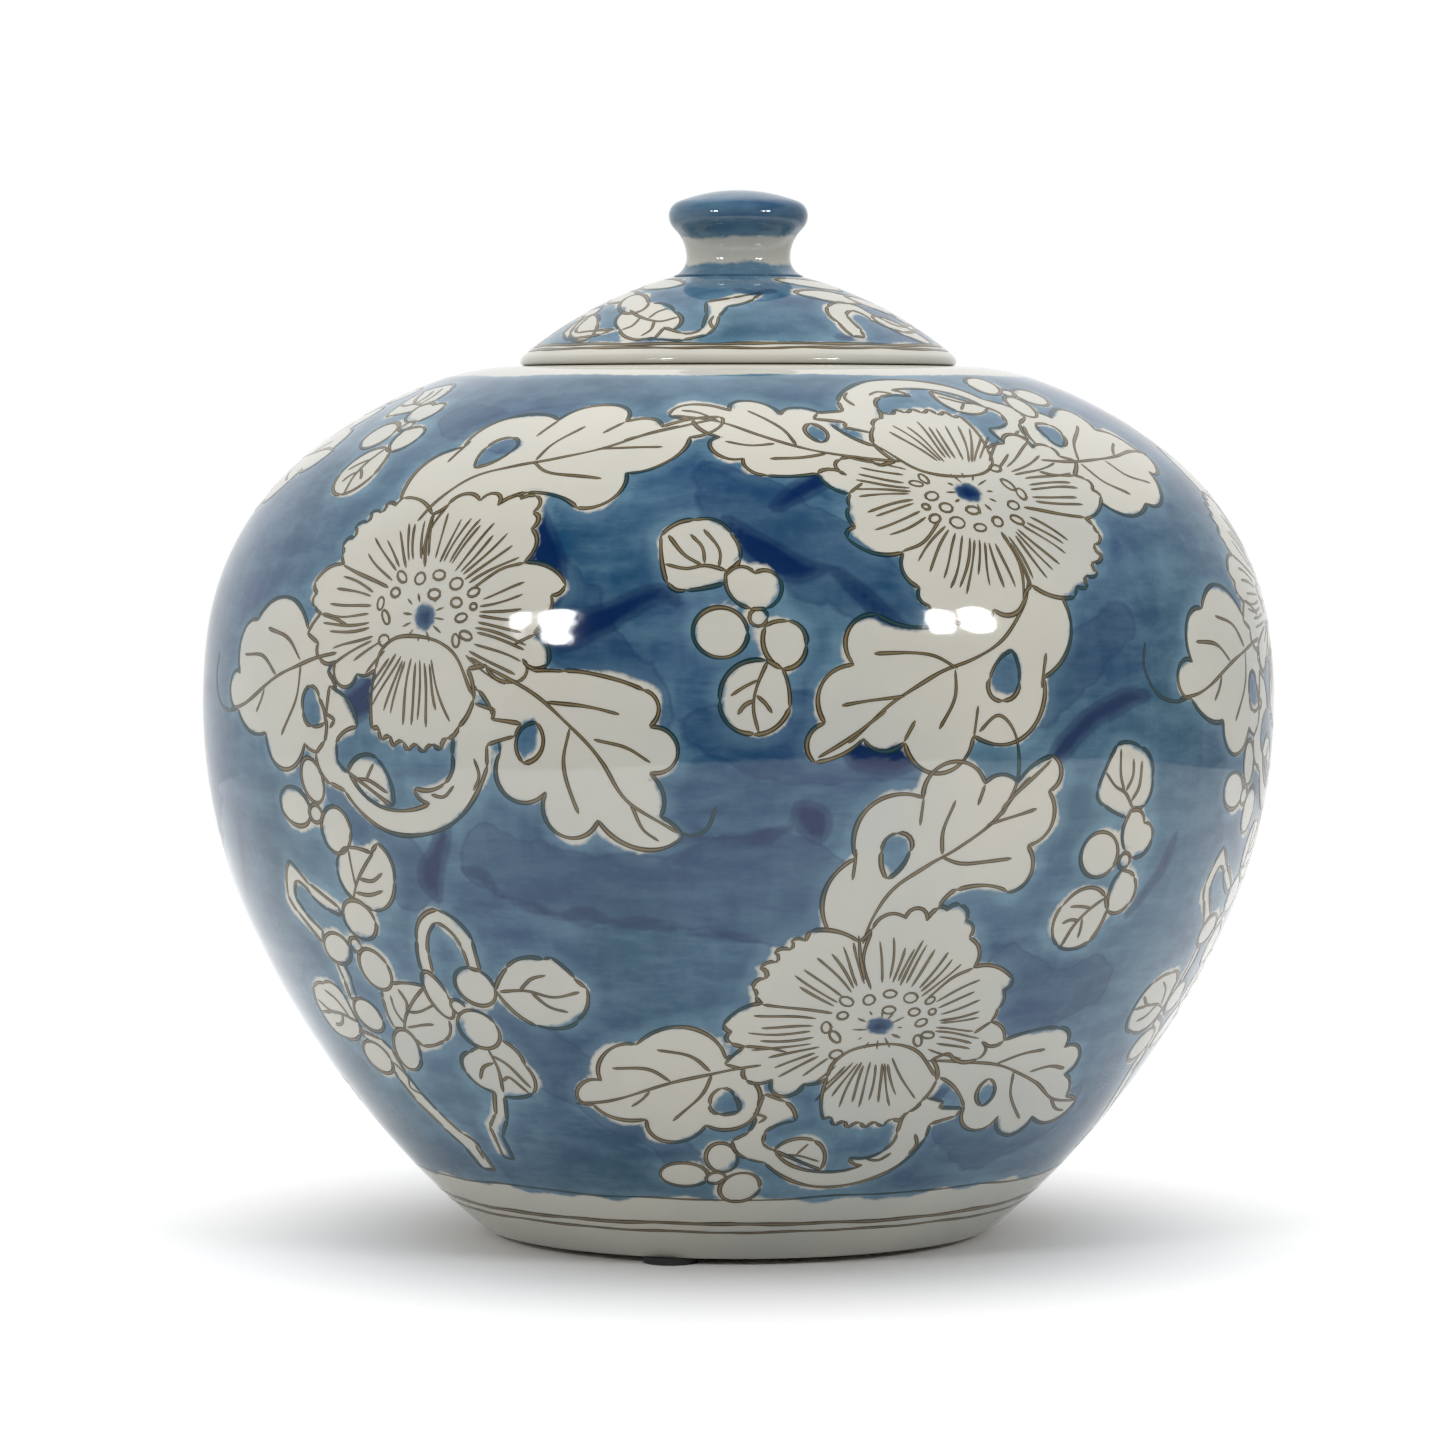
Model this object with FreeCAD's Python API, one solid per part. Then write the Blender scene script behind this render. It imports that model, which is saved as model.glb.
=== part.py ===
import FreeCAD, Part
import math
import os

# A lidded porcelain jar, turned about the Z axis. Lengths are in millimetres and headings in degrees.
# Z = 0 is the surface that the jar stands on, and the origin is the middle of its footprint.
# A profile is drawn in the half plane (r, z) with a pen. Heading 0 points outwards and 90 points up.

# ---- Driving dimensions ----

# Self-adhesive pads under the foot ring
PAD_COUNT = 3
PAD_DIAMETER = 12.7
PAD_THICKNESS = 1.6
PAD_EDGE_ROUND = 0.4
PAD_CIRCLE_RADIUS = 56.4
FIRST_PAD_ANGLE = -16.0          # from the front (-Y), positive towards +X

# Outer wall of the jar: a chain of tangent arcs from the foot to the flat seat round the mouth,
# each given as (radius, heading at its upper end)
FOOT_RADIUS = 61.8
FOOT_EDGE_ROUND = 1.2
FOOT_HEADING = 40.2
WALL_ARCS = [(202.5, 65.8), (128.0, 97.2), (64.5, 140.6), (107.0, 160.5), (53.0, 180.0)]

# Inside of the jar
WALL_THICKNESS = 5.5
FLOOR_HEADING = 46.5             # where the wall meets the rounded edge of the floor
FLOOR_ROUND = 25.0
MOUTH_RADIUS = 42.0
LIP_ROUND = 1.2

# Foot ring, cut from the solid base
FOOT_RING_INNER_RADIUS = 51.0
FOOT_RECESS_DEPTH = 6.0
FOOT_RECESS_ROUND = 2.5

# Lid
LID_RADIUS = 51.6
LID_EDGE_ROUND = 0.7
LID_EDGE_ARC = (2.2, 140.0)
LID_DOME_ARC = (94.0, 161.0)
LID_THICKNESS = 4.8
LID_SEAT_GAP = 0.3
FLANGE_CLEARANCE = 0.8
FLANGE_DEPTH = 12.0
FLANGE_THICKNESS = 4.0
FLANGE_INNER_ROUND = 4.0

# Knob, thrown apart and stuck on the crown of the lid
KNOB_BASE_RADIUS = 15.3
KNOB_BASE_STEP = 0.25
KNOB_BASE_ARC = (4.6, 160.0)     # the flare of its base, from this heading to straight up
KNOB_NECK_ARC = (9.4, 44.0)
KNOB_RIM_ARC = (4.4, 90.0)
KNOB_SHOULDER_ARC = (3.6, 159.0)

ORIGIN = FreeCAD.Vector(0, 0, 0)
Z_AXIS = FreeCAD.Vector(0, 0, 1)


class Pen:
    """Draws a profile as lines and tangent arcs, and keeps its place and its edges."""

    def __init__(self, r, z):
        self.r = r
        self.z = z
        self.edges = []

    def point(self):
        return FreeCAD.Vector(self.r, 0, self.z)

    def line_to(self, r, z):
        start = self.point()
        self.r = r
        self.z = z
        self.edges.append(Part.LineSegment(start, self.point()).toShape())

    def arc(self, radius, heading_in, heading_out):
        """Turns from one heading to the other, to the left where the heading grows."""
        signed_radius = math.copysign(radius, heading_out - heading_in)
        start = self.point()
        first_r = self.r
        first_z = self.z
        angle_in = math.radians(heading_in)
        stations = []
        for share in (0.5, 1.0):
            angle = math.radians(heading_in + share * (heading_out - heading_in))
            self.r = first_r + signed_radius * (math.sin(angle) - math.sin(angle_in))
            self.z = first_z + signed_radius * (math.cos(angle_in) - math.cos(angle))
            stations.append(self.point())
        self.edges.append(Part.Arc(start, stations[0], stations[1]).toShape())


def inward(r, z, heading, distance):
    """The point at this distance to the left of an outline that passes (r, z) with this heading."""
    angle = math.radians(heading)
    return r - distance * math.sin(angle), z + distance * math.cos(angle)


def turned(*pens):
    """The solid of revolution of a closed profile."""
    edges = []
    for pen in pens:
        edges.extend(pen.edges)
    wire = Part.Wire(Part.__sortEdges__(edges))
    return Part.Face(wire).revolve(ORIGIN, Z_AXIS, 360)


def jar_outer_wall():
    pen = Pen(FOOT_RADIUS - FOOT_EDGE_ROUND, PAD_THICKNESS)
    pen.arc(FOOT_EDGE_ROUND, 0.0, FOOT_HEADING)
    heading = FOOT_HEADING
    for radius, next_heading in WALL_ARCS:
        pen.arc(radius, heading, next_heading)
        heading = next_heading
    return pen


def make_jar_body():
    outer = jar_outer_wall()
    seat_z = outer.z
    seat_outer_radius = outer.r

    # the flat seat, the lip of the mouth and the underside of the seat
    outer.line_to(MOUTH_RADIUS + LIP_ROUND, seat_z)
    outer.arc(LIP_ROUND, 180.0, 270.0)
    outer.line_to(MOUTH_RADIUS, seat_z - WALL_THICKNESS + LIP_ROUND)
    outer.arc(LIP_ROUND, 270.0, 360.0)
    outer.line_to(seat_outer_radius, seat_z - WALL_THICKNESS)

    # the inner wall, parallel to the outer one, down to the floor
    lower_headings = [FLOOR_HEADING] + [heading for radius, heading in WALL_ARCS[:-1]]
    for (radius, upper_heading), lower_heading in zip(reversed(WALL_ARCS), reversed(lower_headings)):
        outer.arc(radius - WALL_THICKNESS, upper_heading + 180.0, lower_heading + 180.0)
    outer.arc(FLOOR_ROUND, FLOOR_HEADING + 180.0, 180.0)
    outer.line_to(0.0, outer.z)

    # the underside of the base and the foot ring
    base_z = PAD_THICKNESS + FOOT_RECESS_DEPTH
    outer.line_to(0.0, base_z)
    outer.line_to(FOOT_RING_INNER_RADIUS - FOOT_RECESS_ROUND, base_z)
    outer.arc(FOOT_RECESS_ROUND, 0.0, -90.0)
    outer.line_to(FOOT_RING_INNER_RADIUS, PAD_THICKNESS + FOOT_EDGE_ROUND)
    outer.arc(FOOT_EDGE_ROUND, -90.0, 0.0)
    outer.line_to(FOOT_RADIUS - FOOT_EDGE_ROUND, PAD_THICKNESS)
    return turned(outer)


def lid_crown_radius(pen):
    """The radius of the arc that closes the dome on the axis from where the pen stands."""
    return pen.r / math.sin(math.radians(LID_DOME_ARC[1]))


def lid_outer_dome():
    """The outside of the lid, from its edge to the axis."""
    edge_radius, edge_heading = LID_EDGE_ARC
    dome_radius, dome_heading = LID_DOME_ARC
    pen = Pen(LID_RADIUS - LID_EDGE_ROUND, jar_outer_wall().z + LID_SEAT_GAP)
    pen.arc(LID_EDGE_ROUND, 0.0, 90.0)
    pen.arc(edge_radius, 90.0, edge_heading)
    pen.arc(dome_radius, edge_heading, dome_heading)
    pen.arc(lid_crown_radius(pen), dome_heading, 180.0)
    return pen


def make_lid():
    outer = lid_outer_dome()
    seat_z = jar_outer_wall().z + LID_SEAT_GAP
    edge_heading = LID_EDGE_ARC[1]
    dome_radius, dome_heading = LID_DOME_ARC
    flange_outer_radius = MOUTH_RADIUS - FLANGE_CLEARANCE
    flange_inner_radius = flange_outer_radius - FLANGE_THICKNESS
    flange_bottom_z = seat_z - FLANGE_DEPTH
    flange_tip_round = 0.45 * FLANGE_THICKNESS

    # the inner face of the dome is parallel to the outer one
    dome_start = Pen(LID_RADIUS, seat_z + LID_EDGE_ROUND)
    dome_start.arc(LID_EDGE_ARC[0], 90.0, edge_heading)
    inner_r, inner_z = inward(dome_start.r, dome_start.z, edge_heading, LID_THICKNESS)
    dome_start.arc(dome_radius, edge_heading, dome_heading)
    crown_radius = lid_crown_radius(dome_start)

    # the heading where the rounding of the flange runs into the inner dome
    inner_dome_radius = dome_radius - LID_THICKNESS
    reach = flange_inner_radius - FLANGE_INNER_ROUND - inner_r
    reach += inner_dome_radius * math.sin(math.radians(edge_heading))
    meeting_heading = 180.0 - math.degrees(math.asin(reach / (inner_dome_radius - FLANGE_INNER_ROUND)))

    inner = Pen(outer.r, outer.z)
    inner.line_to(0.0, outer.z - LID_THICKNESS)
    inner.arc(crown_radius - LID_THICKNESS, 360.0, dome_heading + 180.0)
    inner.arc(inner_dome_radius, dome_heading + 180.0, meeting_heading + 180.0)
    inner.arc(FLANGE_INNER_ROUND, meeting_heading + 180.0, 270.0)
    inner.line_to(flange_inner_radius, flange_bottom_z + flange_tip_round)
    inner.arc(flange_tip_round, 270.0, 360.0)
    inner.line_to(flange_outer_radius - flange_tip_round, flange_bottom_z)
    inner.arc(flange_tip_round, 0.0, 90.0)
    inner.line_to(flange_outer_radius, seat_z)
    inner.line_to(LID_RADIUS - LID_EDGE_ROUND, seat_z)
    return turned(outer, inner)


def make_knob():
    crown = lid_outer_dome()
    dome_start = Pen(LID_RADIUS, jar_outer_wall().z + LID_SEAT_GAP + LID_EDGE_ROUND)
    dome_start.arc(LID_EDGE_ARC[0], 90.0, LID_EDGE_ARC[1])
    dome_start.arc(LID_DOME_ARC[0], LID_EDGE_ARC[1], LID_DOME_ARC[1])
    crown_radius = lid_crown_radius(dome_start)
    base_slope = math.degrees(math.asin(KNOB_BASE_RADIUS / crown_radius))

    # its underside is pressed to the crown of the lid
    pen = Pen(0.0, crown.z)
    pen.arc(crown_radius, 0.0, -base_slope)
    pen.line_to(pen.r, pen.z + KNOB_BASE_STEP)

    # the flared base, the waist, the rim and the low domed top
    pen.arc(KNOB_BASE_ARC[0], KNOB_BASE_ARC[1], 90.0)
    pen.arc(KNOB_NECK_ARC[0], 90.0, KNOB_NECK_ARC[1])
    pen.arc(KNOB_RIM_ARC[0], KNOB_NECK_ARC[1], KNOB_RIM_ARC[1])
    pen.arc(KNOB_SHOULDER_ARC[0], KNOB_RIM_ARC[1], KNOB_SHOULDER_ARC[1])
    top_radius = pen.r / math.sin(math.radians(KNOB_SHOULDER_ARC[1]))
    pen.arc(top_radius, KNOB_SHOULDER_ARC[1], 180.0)
    pen.line_to(0.0, crown.z)
    return turned(pen)


def make_foot_pad(angle):
    radius = PAD_DIAMETER / 2
    pen = Pen(0.0, 0.0)
    pen.line_to(radius, 0.0)
    pen.line_to(radius, PAD_THICKNESS - PAD_EDGE_ROUND)
    pen.arc(PAD_EDGE_ROUND, 90.0, 180.0)
    pen.line_to(0.0, PAD_THICKNESS)
    pen.line_to(0.0, 0.0)
    pad = turned(pen)
    turn = math.radians(angle)
    pad.translate(FreeCAD.Vector(PAD_CIRCLE_RADIUS * math.sin(turn), -PAD_CIRCLE_RADIUS * math.cos(turn), 0))
    return pad


def make_parts():
    parts = {
        "jar_body": make_jar_body(),
        "lid": make_lid(),
        "knob": make_knob(),
    }
    for number in range(PAD_COUNT):
        angle = FIRST_PAD_ANGLE + number * 360.0 / PAD_COUNT
        parts[f"foot_pad_{number + 1}"] = make_foot_pad(angle)
    return parts


os.makedirs("parts", exist_ok=True)
for name, shape in make_parts().items():
    shape.exportStep(f"parts/{name}.step")
    box = shape.BoundBox
    print(name, "valid", shape.isValid(), "volume cm3", round(shape.Volume / 1000, 2),
          "z", round(box.ZMin, 3), round(box.ZMax, 3), "r", round(box.XMax, 2))
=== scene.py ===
import math

import bpy
import numpy as np
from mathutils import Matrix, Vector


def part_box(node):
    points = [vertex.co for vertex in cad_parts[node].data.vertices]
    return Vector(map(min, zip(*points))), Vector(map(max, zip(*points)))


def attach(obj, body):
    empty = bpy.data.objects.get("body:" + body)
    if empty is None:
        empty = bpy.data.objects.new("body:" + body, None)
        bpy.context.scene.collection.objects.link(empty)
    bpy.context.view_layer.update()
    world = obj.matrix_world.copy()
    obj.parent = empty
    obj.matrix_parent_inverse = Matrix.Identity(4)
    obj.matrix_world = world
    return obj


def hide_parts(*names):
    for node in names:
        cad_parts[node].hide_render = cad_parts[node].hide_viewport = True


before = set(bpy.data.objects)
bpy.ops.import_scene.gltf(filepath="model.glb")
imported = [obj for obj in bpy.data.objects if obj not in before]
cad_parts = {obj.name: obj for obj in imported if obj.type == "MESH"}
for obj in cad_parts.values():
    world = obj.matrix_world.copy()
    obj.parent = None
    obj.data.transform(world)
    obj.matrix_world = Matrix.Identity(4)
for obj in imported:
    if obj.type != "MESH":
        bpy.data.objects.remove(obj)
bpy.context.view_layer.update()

# A lidded porcelain jar with a painted peony scroll. Lengths are in millimetres until a mesh is made,
# angles round the jar are in degrees from the front (-Y), positive towards +X, and "height" on a
# painted surface is the distance along its profile from the lower edge, measured over the clay.

MM = 0.001

# ---- Profiles, as in the CAD model ----
FOOT_RADIUS = 61.8
FOOT_EDGE_ROUND = 1.2
FOOT_HEADING = 40.2
WALL_ARCS = [(202.5, 65.8), (128.0, 97.2), (64.5, 140.6), (107.0, 160.5), (53.0, 180.0)]
WALL_THICKNESS = 5.5
FLOOR_HEADING = 46.5
FLOOR_ROUND = 25.0
MOUTH_RADIUS = 42.0
LIP_ROUND = 1.2
FOOT_RING_INNER_RADIUS = 51.0
FOOT_RECESS_DEPTH = 6.0
FOOT_RECESS_ROUND = 2.5
LID_RADIUS = 51.6
LID_EDGE_ROUND = 0.7
LID_EDGE_ARC = (2.2, 140.0)
LID_DOME_ARC = (94.0, 161.0)
LID_THICKNESS = 4.8
FLANGE_OUTER_RADIUS = 41.2
FLANGE_INNER_RADIUS = 37.2
FLANGE_DEPTH = 12.0
FLANGE_TIP_ROUND = 1.8
FLANGE_INNER_ROUND = 4.0
KNOB_BASE_RADIUS = 15.3
KNOB_BASE_STEP = 0.25
KNOB_ARCS = [(4.6, 160.0, 90.0), (9.4, 90.0, 44.0), (4.4, 44.0, 90.0), (3.6, 90.0, 159.0)]

FOOT_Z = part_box("jar_body")[0].z / MM
LID_SEAT_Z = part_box("lid")[0].z / MM + FLANGE_DEPTH

# ---- Fineness of the meshes and of the painting ----
GLAZE_STEP = 1.6                 # spacing of the rings of the painted wall
DOME_STEP = 0.75 * GLAZE_STEP    # spacing of the rings of the painted dome
PLAIN_STEP = 8.0                 # spacing of the rings of the jar's unpainted surfaces
LID_INSIDE_STEP = 3.0
KNOB_STEP = 1.0
WALL_SAMPLE_STEP = 0.5           # spacing of the points that a Surface is read from
DOME_SAMPLE_STEP = 0.3
JAR_SEGMENTS = 400
LID_SEGMENTS = 216
KNOB_SEGMENTS = 96
FIELD_STEP = 0.8                 # spacing of the painting's fields of distances
FAR = 8.0                        # distances are cut off at this
DRAW_STEP = 1.1                  # spacing of the points of a drawn line
BATCH = 4000                     # points whose distances are worked out together

# ---- Brush lines ----
OUTLINE_WIDTH = 1.0
VEIN_WIDTH = 0.8
FINE_WIDTH = 0.6
OUTLINE_POINTS = 5               # points across a ribbon
VEIN_POINTS = 3
LINE_LIFT = 0.035                # the lowest ribbons' height above the glaze
LIFT_STEP = 0.004                # crossing lines lie at different heights, so that they don't flicker
LIFT_LEVELS = 6
HIDDEN_DEPTH = 0.3               # a line this far inside a later shape isn't drawn
SWELLS = ((0.16, 4.1), (0.1, 1.7))            # how much a line swells, and over what length
TREMOR = (0.12, 3.1)             # how far a line trembles, and over what length
TIP = (0.4, 1.2)                 # a line starts at this share of its width, and grows over this length
RAY_LEAN = 1.5                   # a ray leans up to this many degrees either way
RAY_START_SPREAD = (-0.6, 1.0)
RAY_END_SPREAD = (-2.2, 1.6)     # at full length, which is that of a ray that ends at RAY_FULL_REACH
RAY_FULL_REACH = 20
RAY_BEND = 0.03
RING_STEP = 1.5 * DRAW_STEP
RING_WAVER = 0.15
STRAIGHT_BULGE = 0.02            # an arc with less bulge than this is drawn straight

# ---- The wash ----
REPEATS = 3                      # the dark strokes and second coats repeat this often round the jar
MISREGISTER = 0.9                # how far the blue wash strays from the outlines
STROKE_FADE = 3.0                # a stroke's field reaches this far past twice its radius

# ---- The hand's variation from copy to copy, and the seeds of what is random ----
COPY_ANGLE = 0.8
COPY_HEIGHT = 1.2
COPY_TURN = 3
COPY_SIZE = 0.03
JAR_SEED = 11
LID_SEED = 5
LINE_SEED = 7

# ---- Heights on the jar's wall, the lid's dome and the knob ----
BLUE_BOTTOM = 23.5
BLUE_TOP = 249.5
FOOT_LINES = [(11.6, 0.9), (14.6, 1.3)]       # (height, width) of each painted ring
WASH_EDGE_LINE = (BLUE_BOTTOM + 0.6, 0.6, 0.5)    # (height, width, waver)
LID_BLUE_BOTTOM = 6.6
LID_LINES = [(4.9, 0.9), (6.4, 1.1)]
DOME_NARROWS = 20.0              # above this height the lid's radius only falls
KNOB_WHITE_BAND = (4.2, 10.2)

# ---- Painting, drawn in the flat in millimetres ----
# A closed shape is a list of corners (x, y, bulge), counter-clockwise. Bulge is the height of the
# arc from one corner to the next, as a share of its chord, and it is positive outwards.
# Holes are drawn the same way, and the wash shows through them. Petals, blots and ovals are
# ellipses (x, y, half width, half height, tilt). Strokes are points that a smooth curve passes
# through. Rays are fans of short strokes about the centre: (first and last direction, count,
# inner and outer radius). A later shape hides the outline of an earlier one.

# The spray is made of parts, each with the point that it turns about in another copy.
LARGE_LEAF = {
    "pivot": (-4, 101),
    "shapes": [
        [(-8, 95, 0), (9, 100, 0), (8.6, 105.4, -0.1), (12.5, 109.2, -0.1), (25, 108.2, 0.35),
         (29.3, 118.6, 0.3), (34, 130.8, 0.35), (34.8, 138.6, 0.1), (26, 132.8, 0.25), (17.6, 132.8, 0.45),
         (3.2, 130, 0.34), (-11.6, 117, 0.36)],
    ],
    "holes": [[(-4, 112.2, 0.12), (0.8, 118.4, 0.3), (-2.4, 122.4, 0.22), (-5.8, 118.4, 0.1)]],
    "strokes": [
        [(-8, 97), (-6.4, 103), (-2, 110), (5, 115), (12, 118.6), (20, 124.4), (26, 131), (29, 134)],
        [(8, 117), (14, 115), (25.4, 116)],
        [(8.4, 117.4), (8.2, 123), (10.6, 129.4)],
        [(18.6, 123.6), (24, 125), (31, 127)],
        [(22, 127), (27, 131.6), (34.4, 137.6)],
        [(3.2, 130), (2.8, 124)],
        [(17.6, 132.6), (16, 128.2)],
        [(-11.4, 119), (-11.8, 112)],
    ],
}
LEFT_LEAF = {
    "pivot": (-28, 62),
    "shapes": [
        [(-25, 66, 0), (-31, 69, 0), (-34.2, 67.5, 0.32), (-54.6, 71, 0.35), (-61, 60.6, 0.7),
         (-62, 53.6, 0.14), (-49, 49.6, 0.44), (-35.3, 48.3, 0.36), (-25, 54, 0.16), (-28.4, 62, 0)],
    ],
    "holes": [
        [(-28.8, 52.4, 0.12), (-30.6, 57, 0.2), (-33.6, 59.2, 0.2), (-35.4, 54.4, 0.2), (-33, 51.6, 0.1)],
    ],
    "strokes": [
        [(-26, 65.6), (-34, 64), (-42, 61.6), (-50, 58.4), (-59, 54.6), (-66, 53.6)],
        [(-37, 64), (-42, 68), (-49.6, 69.8)],
        [(-45.4, 61), (-51, 64.2), (-59, 64.4)],
        [(-36.6, 63), (-38, 56.6), (-43, 49.4)],
        [(-49.6, 58), (-51, 55.6), (-53, 53.4)],
    ],
}
RIGHT_LEAF = {
    "pivot": (13, 64),
    "shapes": [
        [(16, 60.6, -0.1), (24.4, 51.4, 0.5), (35.2, 47.6, 0.55), (46.3, 46.2, 0.26), (62, 49, 0.1),
         (57, 51, 0.2), (53, 58.2, 0.6), (50.2, 66.4, 0.35), (46.6, 72.2, 0.06), (31, 70.2, 0), (25, 68, 0),
         (12, 67, 0), (12, 62, 0)],
    ],
    "holes": [[(29.4, 51.2, 0.32), (29.4, 59.4, 0.32)]],
    "strokes": [
        [(12, 65.6), (20, 65), (29, 63.6), (37, 60.6), (44, 56.8), (51, 51.4), (61, 49.2)],
        [(36, 60.6), (37, 53.6), (42.4, 46)],
        [(30, 63.6), (37, 65.6), (44, 66.4)],
        [(41, 60.4), (47, 61.2), (52.4, 60)],
        [(51, 51.6), (54.4, 47.6), (58, 46.4)],
    ],
}
# The gnarled twig, which ends in a thorn, with a bud in its crook and a small blossom.
TWIG = {
    "pivot": (10, 42),
    "shapes": [
        [(12, 55.4, 0), (18.4, 53.6, 0), (17.6, 51.8, 0), (24, 51.2, 0), (22.6, 48.6, 0), (16.6, 46.8, 0),
         (16.4, 42.6, -0.31), (-20, 36.2, 0), (-24.4, 37.6, -0.14), (-28.6, 43.4, 0), (-25.6, 46, 0.1),
         (-25, 51, 0), (-24, 57.4, 0), (-19, 55.2, -0.1), (-15.8, 49.4, 0.1), (-22, 46, 0),
         (-22, 42.8, 0.1), (-18.6, 40.2, 0.2), (2.4, 34.8, -0.2), (-1, 37.6, 0.14), (6.4, 39, 0.14),
         (8.6, 44.6, 0), (9, 50, 0)],
        [(-19, 40.2, 0), (-7, 33.8, 0.16), (-10.4, 43.2, 0.22)],
    ],
    "petals": [(-37.4, 32.2, 5.6, 3.9, -12), (-30.2, 38, 3.4, 4.9, 25), (-24.2, 28, 4.5, 5, 0),
               (-30.2, 31.2, 2.1, 1.9, 0)],
    "strokes": [
        [(-17, 38.8), (-13, 38.6), (-8, 36.4)],
        [(-13.6, 38.8), (-11.4, 42.2)],
        [(-25.6, 52), (-22.6, 50.6), (-24, 49)],
        [(13.4, 44), (14.4, 40.6), (13, 37.6)],
        [(3, 36.6), (6, 36.2), (8.6, 38.4)],
    ],
}
# Loose tendrils: from the tips of a left and a right leaf, and from the back of a large leaf.
RIGHT_TENDRIL = {
    "pivot": (13, 64),
    "strokes": [[(60, 49.6), (63.6, 49.6), (66, 52), (66.4, 56.4)]],
}
LEFT_TENDRIL = {
    "pivot": (-28, 62),
    "strokes": [[(-62, 54), (-67, 53), (-73, 54.4), (-76.6, 59), (-75.6, 64)]],
}
BACK_TENDRIL = {
    "pivot": (-4, 101),
    "strokes": [[(2, 129), (-2, 125.4), (-6.4, 129), (-8, 137), (-6, 145)]],
}
FLOWER = {
    "pivot": (-1, 75),
    "shapes": [
        # from the tip of its right petal
        [(30, 86.5, 0.16), (19, 90, 0.25), (17, 97.6, 0.35), (15.4, 101.6, 0.3), (13.6, 105.6, 0.2),
         (10.8, 104.2, 0.3), (8.6, 105, 0.1), (6.2, 102, 0.55), (1.2, 102.6, 0.3), (-6.2, 100.5, -0.1),
         (-9, 97.5, 0.12), (-19.6, 100.2, 0.1), (-20.6, 97.8, 0.2), (-23.8, 98, -0.3), (-23.8, 95.6, 0.2),
         (-27.2, 95, -0.3), (-26.6, 92.6, 0.2), (-29.8, 91, -0.3), (-28.4, 88.6, 0.3), (-30.8, 86, -0.2),
         (-29.8, 84, 0.1), (-28, 82.2, 0.14), (-36, 76.8, 0.2), (-33.8, 74.8, 0.4),
         (-33.6, 71.8, 0.1), (-30.6, 70.8, 0.05), (-34, 66, 0), (-29.5, 64.6, 0.2), (-28.6, 61.6, 0.2),
         (-23, 61.8, 0.6), (-16, 60.3, 0.15), (-10.8, 62, 0.06), (-9.6, 49.6, -0.2), (-7.6, 50, 0.15),
         (-6.4, 47.8, -0.2), (-4.4, 49, 0.15), (-3, 46.9, -0.2), (-0.8, 48.4, 0.15), (1, 46.8, -0.2),
         (3, 48.4, 0.15), (5, 47.2, -0.2), (6.8, 49.2, 0.15), (9.2, 48.6, -0.2), (10.2, 51, 0.15),
         (12.6, 54, 0.08), (15.4, 60, 0.1),
         (12.8, 66, 0), (17, 67.6, 0.2), (24.6, 65.4, 0.35), (25, 70.2, 0.25), (30.8, 69.8, 0.2),
         (26.2, 75.6, 0.12), (27.4, 79, 0.2), (27.6, 84, 0.25)],
    ],
    "blots": [(-1, 75, 3, 2.8, 0)],
    "strokes": [
        [(-6.4, 100), (-7.2, 95), (-6.8, 91), (-4.6, 85.4)],
        [(-8.8, 97.8), (-8, 94), (-6.2, 88)],
        [(19, 89.8), (14, 87.6), (9, 82.4)],
        [(-28, 82), (-20, 80.8), (-12.4, 79.4)],
        [(-30.6, 70.8), (-25, 70.4), (-21, 69.4)],
        [(-10.8, 62), (-9.8, 66.4), (-6.4, 69.6), (-1, 70.8), (5, 70.2), (10, 67.6), (15, 61)],
        [(26.4, 75.4), (22.4, 72.6)],
    ],
    "ovals": [
        (-9.6, 82.4, 1.7, 1, -30), (-4.6, 82.8, 1.3, 1.3, 0), (0, 84.2, 1.5, 1, 0), (5, 83, 1.6, 1.3, 0),
        (9.8, 82, 1.3, 0.9, 30), (0.4, 80, 1.5, 1.0, 0), (6.4, 79.2, 1.4, 1.1, 0), (-10, 78.8, 1.3, 1.1, 0),
        (10.8, 79, 0.9, 0.8, 0), (8.6, 76.2, 1.5, 1.0, 20), (-13.2, 75.8, 1.0, 1.5, 10),
        (-10.8, 73.2, 1.8, 0.9, -50), (10.8, 72.8, 1.5, 0.8, -10), (8.6, 71.4, 0.9, 1.5, 20),
        (-9.8, 68.4, 1.4, 1.1, 10),
    ],
    "rays": [(-24, 26, 10, 14, 25), (44, 74, 6, 12, 24), (78, 98, 4, 12.5, 22.5), (108, 150, 8, 13, 24),
             (170, 192, 5, 15, 28), (198, 212, 3, 14, 26), (218, 236, 3, 12, 20), (241, 299, 10, 9.5, 22),
             (0, 333, 12, 3.4, 5.8)],
}


def turned(entry, pivot, turn, size):
    """A point, or a tuple that starts with one, turned counter-clockwise about a pivot and scaled."""
    lean = math.radians(turn)
    x = size * (entry[0] - pivot[0])
    y = size * (entry[1] - pivot[1])
    return (pivot[0] + x * math.cos(lean) - y * math.sin(lean),
            pivot[1] + x * math.sin(lean) + y * math.cos(lean)) + tuple(entry[2:])


def make_motif(centre, **drawn):
    """A motif round its centre; the kinds of shape that it doesn't have are empty."""
    kinds = ("shapes", "holes", "petals", "blots", "strokes", "ovals", "rays")
    return {"centre": centre} | {kind: drawn.get(kind, []) for kind in kinds}


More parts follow.
